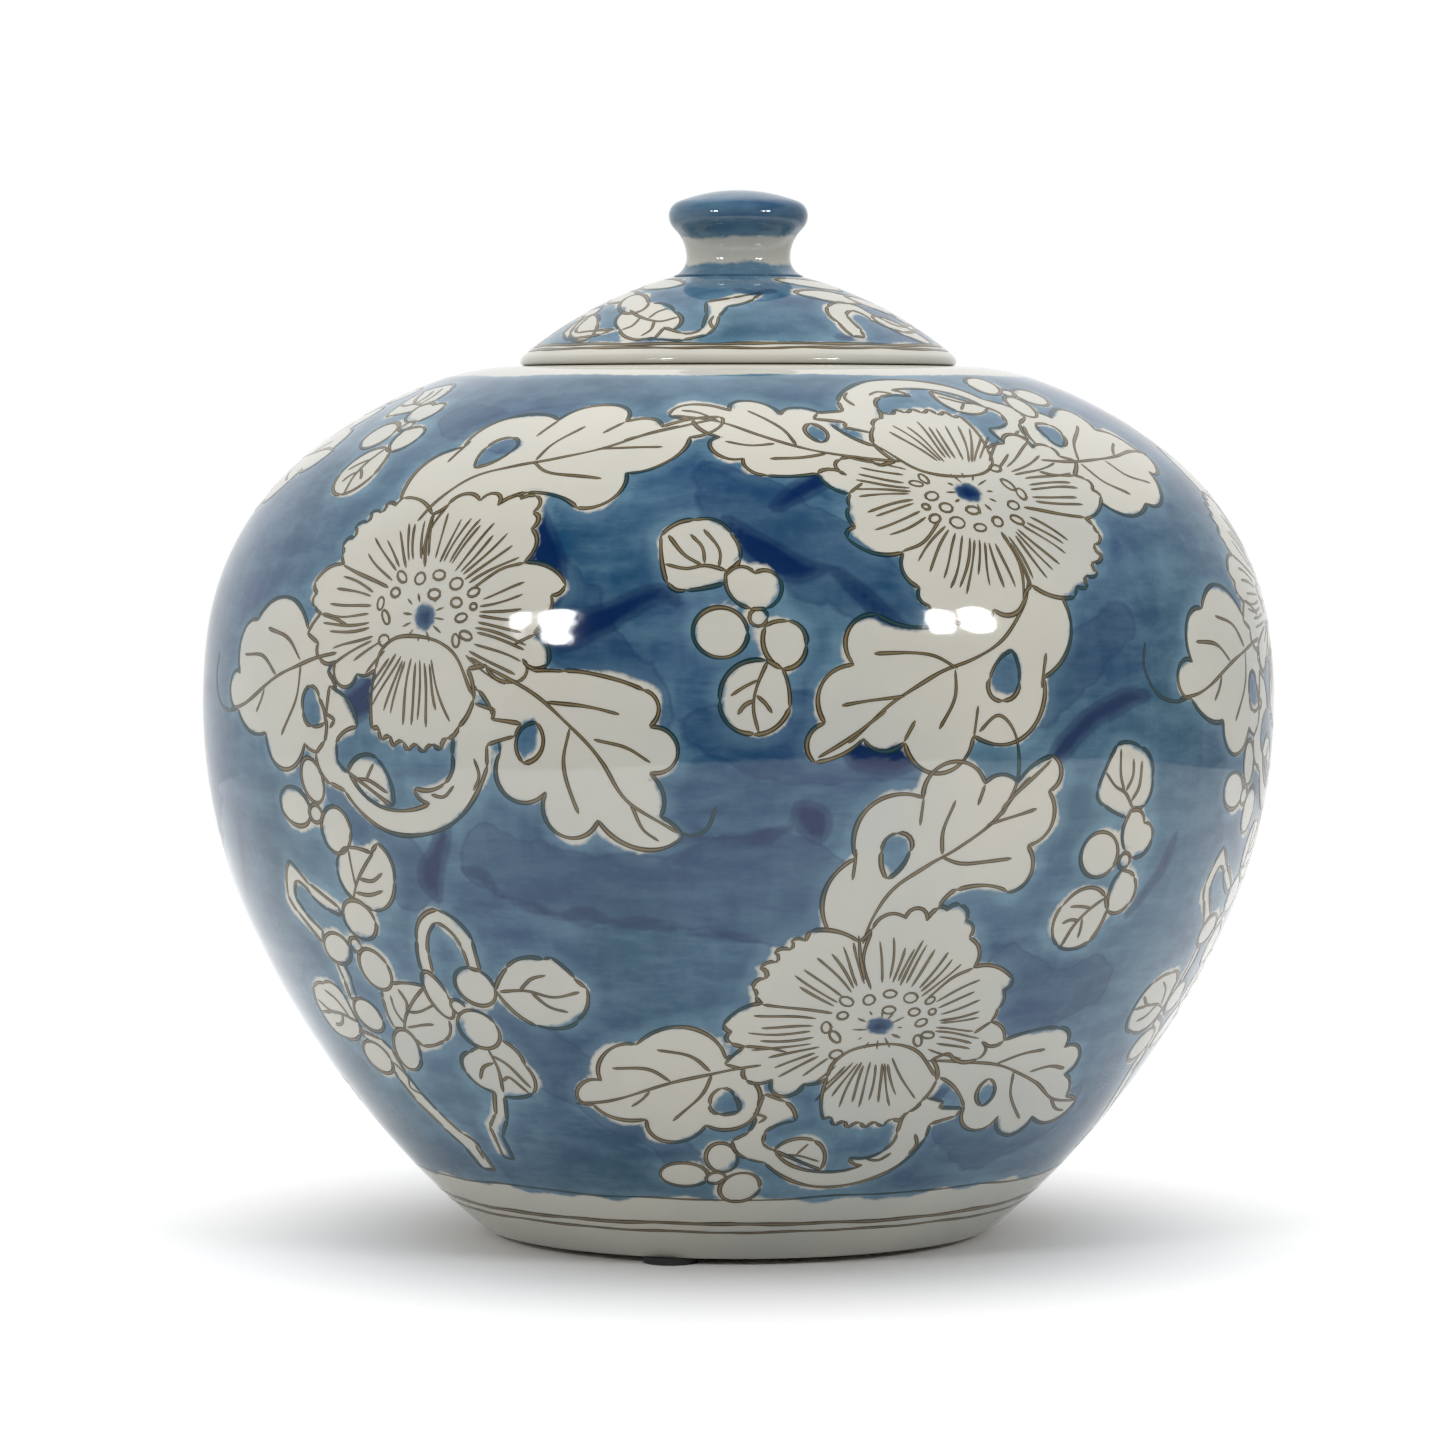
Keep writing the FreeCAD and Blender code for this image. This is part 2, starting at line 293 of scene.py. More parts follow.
def spray(*parts):
    """A motif from parts given as (part, turn, size), the hindmost first."""
    motif = make_motif(FLOWER["pivot"])
    for part, turn, size in parts:
        pivot = part["pivot"]
        for kind in ("shapes", "holes", "strokes"):
            for points in part.get(kind, []):
                motif[kind].append([turned(point, pivot, turn, size) for point in points])
        for kind in ("petals", "blots", "ovals"):
            for oval in part.get(kind, []):
                x, y, wide, high, tilt = turned(oval, pivot, turn, size)
                motif[kind].append((x, y, size * wide, size * high, tilt + turn))
        for first, last, count, inner, outer in part.get("rays", []):
            motif["rays"].append((first + turn, last + turn, count, size * inner, size * outer))
    return motif


SPRAY_LOW = spray((LARGE_LEAF, 0, 1), (LEFT_LEAF, 0, 1), (RIGHT_LEAF, 0, 1), (TWIG, 0, 1), (FLOWER, 0, 1))
SPRAY_LEFT = spray((LARGE_LEAF, -13, 1.12), (LEFT_LEAF, 0, 1.18), (LEFT_TENDRIL, 0, 1.18),
                   (RIGHT_LEAF, -20, 1.16), (RIGHT_TENDRIL, -20, 1.16), (TWIG, 0, 1.1),
                   (FLOWER, -8, 1.05))
SPRAY_TOP = spray((LARGE_LEAF, -7, 1.1), (BACK_TENDRIL, -7, 1.1), (LEFT_LEAF, -14, 1.12),
                  (RIGHT_LEAF, -3, 0.92), (TWIG, -8, 1.05), (FLOWER, 0, 1.06))

# The sprig: a leaf, a heart-shaped petal, round petals and a second leaf.
SPRIG = make_motif(
    centre=(2, 169),
    shapes=[
        [(-3.2, 177, 0), (-3, 180, 0.1), (0.2, 182.6, 0.12), (-1.8, 189, 0.2), (-9.6, 192.4, 0.12),
         (-17, 188.4, 0.05), (-15.6, 177.2, 0.22), (-11.4, 175.6, 0.03)],
        [(5.8, 171.4, 0.25), (8.4, 178.4, 0.25), (3.2, 179.4, 0.3), (-2.8, 179, 0.2), (2.2, 171.4, 0)],
        [(5.4, 167.4, 0.2), (9.2, 158.4, 0.22), (14.4, 163.4, 0.22), (10.4, 168.6, 0.1)],
        [(5.5, 160.3, 0.24), (-4.3, 151.5, 0.22), (3, 144.3, 0.16), (10.8, 150, 0.08), (9, 158.5, 0)],
    ],
    petals=[(-4.2, 166.2, 6, 5.4, 0), (4, 169.4, 2, 2, 0)],
    strokes=[
        [(-3, 180), (-7.4, 181.2), (-11.4, 180.6), (-16, 181.6)],
        [(-8, 181.4), (-12, 184), (-15.4, 188.4)],
        [(-7.6, 181.8), (-8, 185.6), (-10.4, 188.8)],
        [(-4.4, 180.8), (-4.4, 185), (-7.6, 190)],
        [(5.8, 160), (3.8, 155), (3, 150), (4, 144.6)],
        [(3.8, 156), (0.6, 154.4), (-2, 152.6)],
        [(3.2, 151.6), (1, 150.6), (-0.6, 148.6)],
        [(3.6, 152.6), (5.4, 150.8), (6.8, 148.8)],
    ],
)

# The shoot: leaves, looped stems and round blossoms that rise from the foot.
SHOOT = make_motif(
    centre=(8, 74),
    shapes=[
        # the top leaf
        [(2.6, 104.4, 0), (8, 102.2, 0.2), (16.8, 109.4, 0.2), (13.6, 118.2, 0), (11.4, 116, 0.05),
         (4, 116.8, 0.16), (-1.2, 111.6, 0.16)],
        # the pointed loop, down its outside and back along its inside
        [(-4, 102.2, 0.02), (-13.4, 107, 0.02), (-20, 112.2, 0.08), (-24.6, 103.6, 0.08), (-22, 99.6, 0),
         (-14.8, 92.6, 0), (-13.2, 95.6, 0), (-18.4, 99.6, 0.02), (-20.9, 103, -0.12), (-18.6, 107.6, -0.1),
         (-13.6, 104.4, 0.02), (-8.6, 101.2, 0), (-4, 100, 0)],
        # the stem under it
        [(-12, 87.4, 0), (-11.4, 83, 0), (-11.8, 78, 0), (-9.4, 78, 0), (-8.4, 83, 0.1), (-9.2, 87.4, 0)],
        # the left leaf
        [(-13, 71.4, 0), (-14.4, 78.8, 0.2), (-21.6, 81.3, 0.1), (-28.6, 79.5, 0.16), (-31, 72, 0.2),
         (-24, 66.3, 0.12), (-15, 67.6, 0.1)],
        # the trunk
        [(-8, 63.6, 0), (-7.4, 56, 0), (-5, 50, 0), (-0.4, 42.4, 0), (3, 36.4, 0), (4.2, 29.6, 0),
         (8.4, 29.6, 0), (8.2, 36.4, 0.2), (5.4, 41, 0), (1.2, 47.6, 0), (-1.6, 53, 0), (-3.2, 58.4, 0),
         (-4, 64.6, 0), (-6.6, 67.4, 0), (-13.4, 69.4, 0), (-13.2, 67.4, 0)],
        # the middle leaf
        [(4.6, 70.4, 0), (8, 67, 0.06), (15.6, 69.4, 0.16), (19.8, 76, 0), (16.4, 83.6, 0.05),
         (5, 83.6, 0.14), (1, 79.4, 0.08), (0.8, 71.6, 0)],
        # the round-headed loop
        [(20.4, 87.6, 0), (21, 92.4, -0.12), (26, 100.2, -0.16), (31, 94.4, -0.06), (31, 89.2, 0),
         (34, 88.8, 0), (34.4, 96.4, 0.14), (27.2, 103.4, 0.16), (18.8, 95.6, 0.06), (17.4, 88, 0)],
        # the curled leaf and its stem
        [(28, 68.6, 0.08), (21.6, 66.6, 0.2), (17.6, 60.6, 0.16), (23.4, 55.6, 0), (20, 48.6, 0),
         (16, 44.4, 0), (14.2, 34.6, 0), (16.8, 34, 0), (18.2, 41.8, 0), (22.4, 47, 0), (25.4, 54.4, 0.1),
         (33.6, 55.8, 0.2), (35.2, 64, 0.16), (32.4, 70.6, 0)],
        # the right leaf
        [(36, 84, 0.12), (43, 75.2, 0.14), (53.5, 77, 0.12), (58.6, 85.6, 0), (56.6, 88, 0.05),
         (52.8, 93.2, 0), (50.8, 92.6, 0.12), (41, 90, 0.04)],
    ],
    petals=[
        (2.3, 99.4, 5.3, 4.9, 0), (-1.8, 93, 2, 1.9, 0), (-9.6, 91.4, 5.2, 3.9, 8), (2.2, 87, 4.9, 5.4, 20),
        (-7.4, 74, 5, 4.4, -10), (-12, 61.8, 5.4, 4.5, 0), (1.6, 65.4, 4.2, 6.2, -30),
        (19.4, 81.6, 3, 6.2, 12), (24, 79, 2, 2, 0), (30.8, 84.6, 5.2, 4.8, 0), (27.2, 73.2, 5.4, 5.2, 20),
    ],
    strokes=[
        [(2, 104.4), (4.6, 108.4), (8, 112), (12, 116)],
        [(4, 107.6), (4, 112), (4.2, 116.2)],
        [(5.8, 109.4), (10, 109.2), (13.6, 111.4)],
        [(3.6, 106), (8, 105.8), (12.6, 107.2)],
        [(-13, 71.6), (-19, 73.2), (-25, 73.4), (-29.4, 76)],
        [(-16.4, 73), (-19, 77), (-23, 79.4)],
        [(-19, 73.2), (-21.6, 70.4), (-25.6, 69.4)],
        [(-25, 73.2), (-30.4, 72.6)],
        [(4, 71), (6.6, 75), (11, 79.6), (16, 83.4)],
        [(5, 73), (3.8, 76.4), (4.2, 80.4)],
        [(7.2, 76), (8.6, 79), (7.6, 82.4)],
        [(8, 76.4), (12, 76.8), (17.6, 79)],
        [(5.4, 72), (11, 73), (14.6, 73.4)],
        [(37, 83.6), (44, 84.2), (50, 83), (56.6, 84.4)],
        [(42, 84.2), (46, 87.4), (50, 88.4)],
        [(45, 84), (48, 80.4), (52, 79)],
        [(27.4, 68), (27.4, 62), (25.8, 55.6)],
        [(27.2, 64), (23.6, 62.4), (21, 59)],
        [(27.6, 66), (31, 63.4), (34, 57.4)],
        [(27, 58.8), (29.6, 60.2), (32.6, 56)],
        [(-6, 61), (-3.4, 57), (-4.4, 54), (-1.6, 52.4)],
        [(7, 33), (7.2, 37.6)],
    ],
)

# The lid's scroll: a leaf with two blossoms beside it, a forked twig and a hooked tendril.
LID_SPRAY = make_motif(
    centre=(0, 0),
    shapes=[
        # the leaf
        [(-16.6, 11, 0.28), (-15.4, 20, 0.2), (-21, 24.4, 0.15), (-30, 20, 0.25), (-29.6, 12.4, 0.25),
         (-22, 8.4, 0.15)],
        # the small triangular petal
        [(-39, 8.6, 0.12), (-38, 15, 0.2), (-42, 19.4, 0.25), (-48, 11, 0.2)],
        # the forked twig
        [(-20, 8.2, 0), (-13, 7.6, 0), (-7.4, 9.8, 0.1), (-4.6, 17.6, 0), (-2.6, 22.4, 0.1),
         (3.4, 26.4, 0), (5.6, 30.4, 0), (-1.6, 27, 0), (-7.6, 24.6, 0), (-7.4, 19, 0),
         (-8.6, 12.2, -0.2), (-13.2, 10.4, 0), (-17.6, 13, 0)],
        # the hooked tendril and its tail
        [(28, 9.5, 0), (31.4, 9, 0), (30.7, 12, -0.05), (27.3, 18.5, -0.2), (29.4, 20.8, -0.1),
         (35, 16.6, 0), (40, 13.4, 0), (46.5, 11.6, 0.05), (58, 13.4, 0), (58.4, 15.4, 0),
         (47, 14, -0.05), (40.6, 16.6, 0), (35.4, 20.2, 0.1), (29, 24.6, 0.2), (21.9, 22.6, 0.15),
         (24.4, 15.4, 0.05)],
    ],
    petals=[(-36, 29, 9, 3.8, 0), (-23, 37, 9.5, 4.2, 0), (-27.8, 24.6, 5.2, 5.2, 0)],
    blots=[(26.6, 9.2, 3.5, 1.4, 20), (-24, 7.2, 5, 1.0, 0), (4, 31, 5, 1.6, 10)],
    strokes=[
        [(-28, 21), (-24, 17.6), (-19, 15.4), (-14, 17.4)],
        [(-24, 17.6), (-26, 13.8), (-29, 12)],
        [(-20.4, 15.8), (-21, 12), (-23.4, 9.4)],
        [(-22, 17), (-19.6, 20), (-17, 21.4)],
        [(-5.6, 12), (-6.6, 15), (-5.8, 18)],
    ],
)

# Where the motifs sit: (motif, height, turn, size, angles round the jar). The painter's three
# repeats are not quite even, and the sprig high on the left fills the widest gap.
JAR_PLAN = [
    (SPRAY_LEFT, 169.0, 0, 1.0, (-33.9, 84, 194)),
    (SPRAY_LOW, 75.0, 0, 1.0, (16.5, 135, 247)),
    (SPRAY_TOP, 200.0, 180, 1.0, (27.5, 140, 251)),
    (SPRIG, 169.0, 0, 1.0, (0.9, 116, 226)),
    (SPRIG, 114.5, -34, 0.96, (43.2, 161, 274)),
    (SPRIG, 222.0, 5, 0.95, (-55.6,)),
    (SHOOT, 74.0, 0, 1.0, (-42.9, 77, 190)),
]
LID_PLAN = [(LID_SPRAY, 0, 0, 1.0, (0, 120, 240))]

# Dark strokes of the wash brush: (distance round the jar from its front, height, radius) at each point.
JAR_ACCENTS = [
    [(-40, 163, 2.5), (-34, 167, 3.6), (-26, 171, 3), (-18, 175, 2.5), (-13, 173, 1)],
    [(-3, 192, 2), (3, 186, 3.5), (9, 182, 4), (14, 180, 3), (19, 180.5, 1), (24, 177, 2), (30, 171, 2.5),
     (36, 166, 2)],
    [(-48, 198, 3), (-45, 188, 4), (-42, 178, 4), (-44, 168, 3)],
    [(22, 207, 3), (14, 201, 3), (8, 196, 2)],
    [(14, 127, 3), (16, 125, 4), (17, 122, 2)],
    [(26, 140, 4), (34, 140, 5), (40, 141, 3)],
    [(-67, 126, 1.5), (-69, 119, 2.6), (-72, 111, 3.4), (-70, 106, 1.5)],
    [(-95, 148, 4), (-88, 152, 4), (-84, 158, 3)],
    [(70, 136, 1), (75, 140, 3), (84, 147, 2.4), (93, 150, 2.6), (102, 151, 1)],
    [(113, 119, 1), (109, 112, 2), (103, 106, 1.6), (97, 101, 1)],
    [(42, 54, 1.5), (45, 55, 2), (48, 57, 1)],
    [(-63, 113, 0.7), (-58, 112, 1.3), (-53, 107, 0.7), (-46, 105, 1.6), (-40, 103, 0.7), (-34, 104, 1.5),
     (-28, 102, 0.6), (-20, 102, 1.4), (-12, 100, 0.6), (-4, 99, 1.2), (4, 98, 0.6)],
    [(-16, 120, 0.6), (-9, 122, 1.1), (-2, 121, 0.6), (5, 122, 1.3), (11, 124, 0.8), (17, 127, 2)],
]
# Broad passages where the wash went over twice, given in the same way.
JAR_COATS = [
    [(-56, 116, 4), (-40, 112, 8), (-24, 111, 8.5), (-8, 110.5, 10.5), (8, 110, 11.5), (20, 108, 9)],
    [(-4, 204, 8), (8, 192, 12), (24, 181, 10), (38, 168, 7)],
    [(-52, 190, 6), (-42, 176, 9), (-30, 160, 8), (-20, 150, 5)],
    [(-6, 146, 5), (6, 143, 8), (22, 142, 9), (40, 142, 8)],
    [(-58, 78, 5), (-46, 66, 9), (-34, 58, 8), (-22, 48, 6), (-12, 36, 5)],
    [(54, 160, 4), (68, 150, 7), (80, 158, 6), (92, 168, 5)],
    [(60, 88, 5), (72, 80, 8), (86, 84, 6)],
    [(-100, 130, 6), (-88, 120, 8), (-78, 108, 6)],
    [(50, 44, 6), (66, 40, 8), (84, 46, 6)],
    [(-70, 226, 4), (-52, 222, 6), (-36, 228, 4)],
]


# ---- Curves in the flat ----
def full_turn(count):
    """Evenly spaced angles, once round."""
    return np.arange(count) * 2 * math.pi / count


def arc_span(start, end, bulge):
    """Points of the arc from start to end, with both ends."""
    start = np.array(start, float)
    end = np.array(end, float)
    chord = end - start
    length = np.hypot(*chord)
    along = chord / length
    outward = np.array([along[1], -along[0]])
    if abs(bulge) < STRAIGHT_BULGE:
        share = np.linspace(0, 1, max(2, math.ceil(length / DRAW_STEP) + 1))[:, None]
        return start + share * chord
    height = bulge * length
    radius = (length ** 2 / 4 + height ** 2) / (2 * height)
    half_turn = 2 * math.atan(2 * bulge)
    count = max(4, math.ceil(abs(2 * half_turn * radius) / DRAW_STEP) + 1)
    turn = np.linspace(-half_turn, half_turn, count)[:, None]
    middle = (start + end) / 2
    return middle + radius * np.sin(turn) * along + (height - radius + radius * np.cos(turn)) * outward


def shape_spans(corners):
    spans = []
    for index, (x, y, bulge) in enumerate(corners):
        next_x, next_y, _ = corners[(index + 1) % len(corners)]
        spans.append(arc_span((x, y), (next_x, next_y), bulge))
    return spans


def joined(spans):
    """A closed loop from spans that each end where the next begins."""
    return np.vstack([span[:-1] for span in spans])


def smooth_stroke(points):
    """A Catmull-Rom curve through the points."""
    points = np.array(points, float)
    padded = np.vstack([2 * points[0] - points[1], points, 2 * points[-1] - points[-2]])
    pieces = []
    for before, start, end, after in zip(padded, padded[1:], padded[2:], padded[3:]):
        count = max(2, math.ceil(np.hypot(*(end - start)[:2]) / DRAW_STEP))
        t = np.linspace(0, 1, count, endpoint=False)[:, None]
        linear = (end - before) * t
        square = (2 * before - 5 * start + 4 * end - after) * t ** 2
        cube = (3 * start - before - 3 * end + after) * t ** 3
        pieces.append(start + (linear + square + cube) / 2)
    return np.vstack(pieces + [points[-1:]])


def ellipse(x, y, wide, high, tilt):
    """A round petal as a closed loop; wide and high are half sizes."""
    count = max(10, math.ceil(2 * math.pi * max(wide, high) / DRAW_STEP))
    turn = np.linspace(0, 2 * math.pi, count, endpoint=False)
    lean = math.radians(tilt)
    along = wide * np.cos(turn)
    across = high * np.sin(turn)
    return np.stack([x + along * math.cos(lean) - across * math.sin(lean),
                     y + along * math.sin(lean) + across * math.cos(lean)], 1)


# ---- Profiles ----
class Pen:
    """Follows a profile in the half plane (r, z) and keeps its points."""

    def __init__(self, r, z, step):
        self.r = [r]
        self.z = [z]
        self.step = step

    def line_to(self, r, z):
        run = math.hypot(r - self.r[-1], z - self.z[-1])
        count = max(1, math.ceil(run / self.step))
        start_r, start_z = self.r[-1], self.z[-1]
        for index in range(1, count + 1):
            self.r.append(start_r + (r - start_r) * index / count)
            self.z.append(start_z + (z - start_z) * index / count)

    def arc(self, radius, heading_in, heading_out):
        """Turns from one heading to the other, to the left where the heading grows."""
        signed_radius = math.copysign(radius, heading_out - heading_in)
        start_r, start_z = self.r[-1], self.z[-1]
        angle_in = math.radians(heading_in)
        turn = math.radians(heading_out - heading_in)
        count = max(4, math.ceil(abs(turn) * radius / self.step))
        for index in range(1, count + 1):
            angle = angle_in + turn * index / count
            self.r.append(start_r + signed_radius * (math.sin(angle) - math.sin(angle_in)))
            self.z.append(start_z + signed_radius * (math.cos(angle_in) - math.cos(angle)))


def loops_of(motif):
    """Every closed loop of a motif in painting order, with the spans that its outline is drawn in."""
    loops = []
    for corners in motif["shapes"]:
        spans = shape_spans(corners)
        loops.append((joined(spans), spans))
    for petal in motif["petals"]:
        loop = ellipse(*petal)
        loops.append((loop, [np.vstack([loop, loop[:1]])]))
    return loops


def signed_distance(points, loop):
    """The distance of each point from a closed loop, positive inside it."""
    start = loop
    run = np.roll(loop, -1, axis=0) - start
    length_squared = np.maximum((run ** 2).sum(1), 1e-9)
    result = np.empty(len(points))
    for first in range(0, len(points), BATCH):
        part = points[first:first + BATCH]
        x = part[:, 0, None] - start[None, :, 0]
        y = part[:, 1, None] - start[None, :, 1]
        share = np.clip((x * run[:, 0] + y * run[:, 1]) / length_squared, 0, 1)
        distance = np.hypot(x - share * run[:, 0], y - share * run[:, 1]).min(1)
        crosses = (y < 0) != (y < run[:, 1])
        rise = np.where(np.abs(run[:, 1]) < 1e-9, 1e-9, run[:, 1])
        left = x < y / rise * run[:, 0]
        inside = (crosses & left).sum(1) % 2 == 1
        result[first:first + BATCH] = np.where(inside, distance, -distance)
    return result


def wrapped(angle):
    return (angle + math.pi) % (2 * math.pi) - math.pi


class Surface:
    """The outside of a turned wall, by the distance along its profile."""

    def __init__(self, r, z):
        self.r = np.array(r, float)
        self.z = np.array(z, float)
        run = np.hypot(np.diff(self.r), np.diff(self.z))
        self.height = np.concatenate([[0], np.cumsum(run)])
        self.normal_r = np.gradient(self.z, self.height)
        self.normal_z = -np.gradient(self.r, self.height)

    def radius(self, height):
        return np.maximum(np.interp(height, self.height, self.r), 0.5)

    def place(self, angle, height, lift):
        """Points on the surface, in metres, raised by lift millimetres."""
        r = np.interp(height, self.height, self.r) + lift * np.interp(height, self.height, self.normal_r)
        z = np.interp(height, self.height, self.z) + lift * np.interp(height, self.height, self.normal_z)
        return np.stack([r * np.sin(angle), -r * np.cos(angle), z], -1) * MM


class Placement:
    """One motif on a surface: where its centre is, how far it is turned and how large it is drawn."""

    def __init__(self, surface, motif, angle, height, turn, size):
        self.surface = surface
        self.motif = motif
        self.angle = math.radians(angle)
        self.height = height
        lean = math.radians(turn)
        self.matrix = size * np.array([[math.cos(lean), math.sin(lean)], [-math.sin(lean), math.cos(lean)]])
        self.size = size

    def on_surface(self, points):
        flat = (np.asarray(points, float) - self.motif["centre"]) @ self.matrix
        height = self.height + flat[:, 1]
        return self.angle + flat[:, 0] / self.surface.radius(height), height

    def in_flat(self, angle, height):
        across = wrapped(angle - self.angle) * self.surface.radius(height)
        flat = np.stack([across, height - self.height], -1)
        return flat @ np.linalg.inv(self.matrix) + self.motif["centre"]


class Painting:
    """The wash on a turned surface, as fields of distances: "reserve" tells how far each place lies
    inside the white, "accent" inside a dark stroke and "coat" inside a second coat."""

    def __init__(self, surface):
        self.surface = surface
        self.columns = round(2 * math.pi * surface.r.max() / FIELD_STEP)
        self.rows = math.ceil(surface.height[-1] / FIELD_STEP) + 1
        self.angle, self.height = np.meshgrid(full_turn(self.columns), np.arange(self.rows) * FIELD_STEP)
        self.fields = {name: np.full(self.angle.shape, -FAR) for name in ("reserve", "accent", "coat")}

    def strayed(self):
        """Where the wash brush thinks each place is, a little off the outlines."""
        across = MISREGISTER * np.sin(12 * self.angle + self.height / 13)
        across += 0.5 * MISREGISTER * np.sin(27 * self.angle - self.height / 7)
        along = MISREGISTER * np.sin(9 * self.angle - self.height / 11 + 2)
        along += 0.5 * MISREGISTER * np.sin(21 * self.angle + self.height / 6)
        return self.angle + across / self.surface.radius(self.height), self.height + along

    def add_motif(self, placement):
        flat = placement.in_flat(*self.strayed())
        motif = placement.motif
        for loop, _ in loops_of(motif):
            self.merge("reserve", flat, loop, placement.size, 1)
        holes = [joined(shape_spans(corners)) for corners in motif["holes"]]
        blots = [ellipse(*blot) for blot in motif["blots"]]
        for loop in holes + blots:
            self.merge("reserve", flat, loop, placement.size, -1)
        for loop in blots:
            self.merge("accent", flat, loop, placement.size, 1)

    def merge(self, field, flat, loop, size, sign):
        """Adds the inside of a loop to a field, or takes it away where sign is -1."""
        low = loop.min(0) - FAR / size
        high = loop.max(0) + FAR / size
        near = np.all((flat > low) & (flat < high), axis=-1)
        values = self.fields[field]
        distance = sign * size * signed_distance(flat[near], loop)
        choose = np.maximum if sign > 0 else np.minimum
        values[near] = choose(values[near], distance)

    def keep_white(self, inside):
        self.fields["reserve"] = np.maximum(self.fields["reserve"], inside)

    def add_stroke(self, field, points):
        """A brush stroke through (across, height, radius), measured over the clay from the front, and
        its repeats round the jar."""
        values = self.fields[field]
        path = smooth_stroke(points)
        angle = path[:, 0] / self.surface.radius(path[:, 1])
        for repeat in range(REPEATS):
            shift = angle + repeat * 2 * math.pi / REPEATS
            for station, height, radius in zip(shift, path[:, 1], path[:, 2]):
                near = np.abs(self.height - height) < 2 * radius + STROKE_FADE
                across = wrapped(self.angle[near] - station) * self.surface.radius(self.height[near])
                distance = radius - np.hypot(across, self.height[near] - height)
                values[near] = np.maximum(values[near], distance)

    def sample(self, field, angle, height):
        """A field's values at places between the points of the grid."""
        values = self.fields[field]
        column = (np.asarray(angle) % (2 * math.pi)) / (2 * math.pi) * self.columns
        row = np.clip(np.asarray(height) / FIELD_STEP, 0, self.rows - 1.001)
        left = np.floor(column).astype(int)
        low = np.floor(row).astype(int)
        across = column - left
        up = row - low
        right = (left + 1) % self.columns
        left = left % self.columns
        lower = values[low, left] * (1 - across) + values[low, right] * across
        upper = values[low + 1, left] * (1 - across) + values[low + 1, right] * across
        return lower * (1 - up) + upper * up


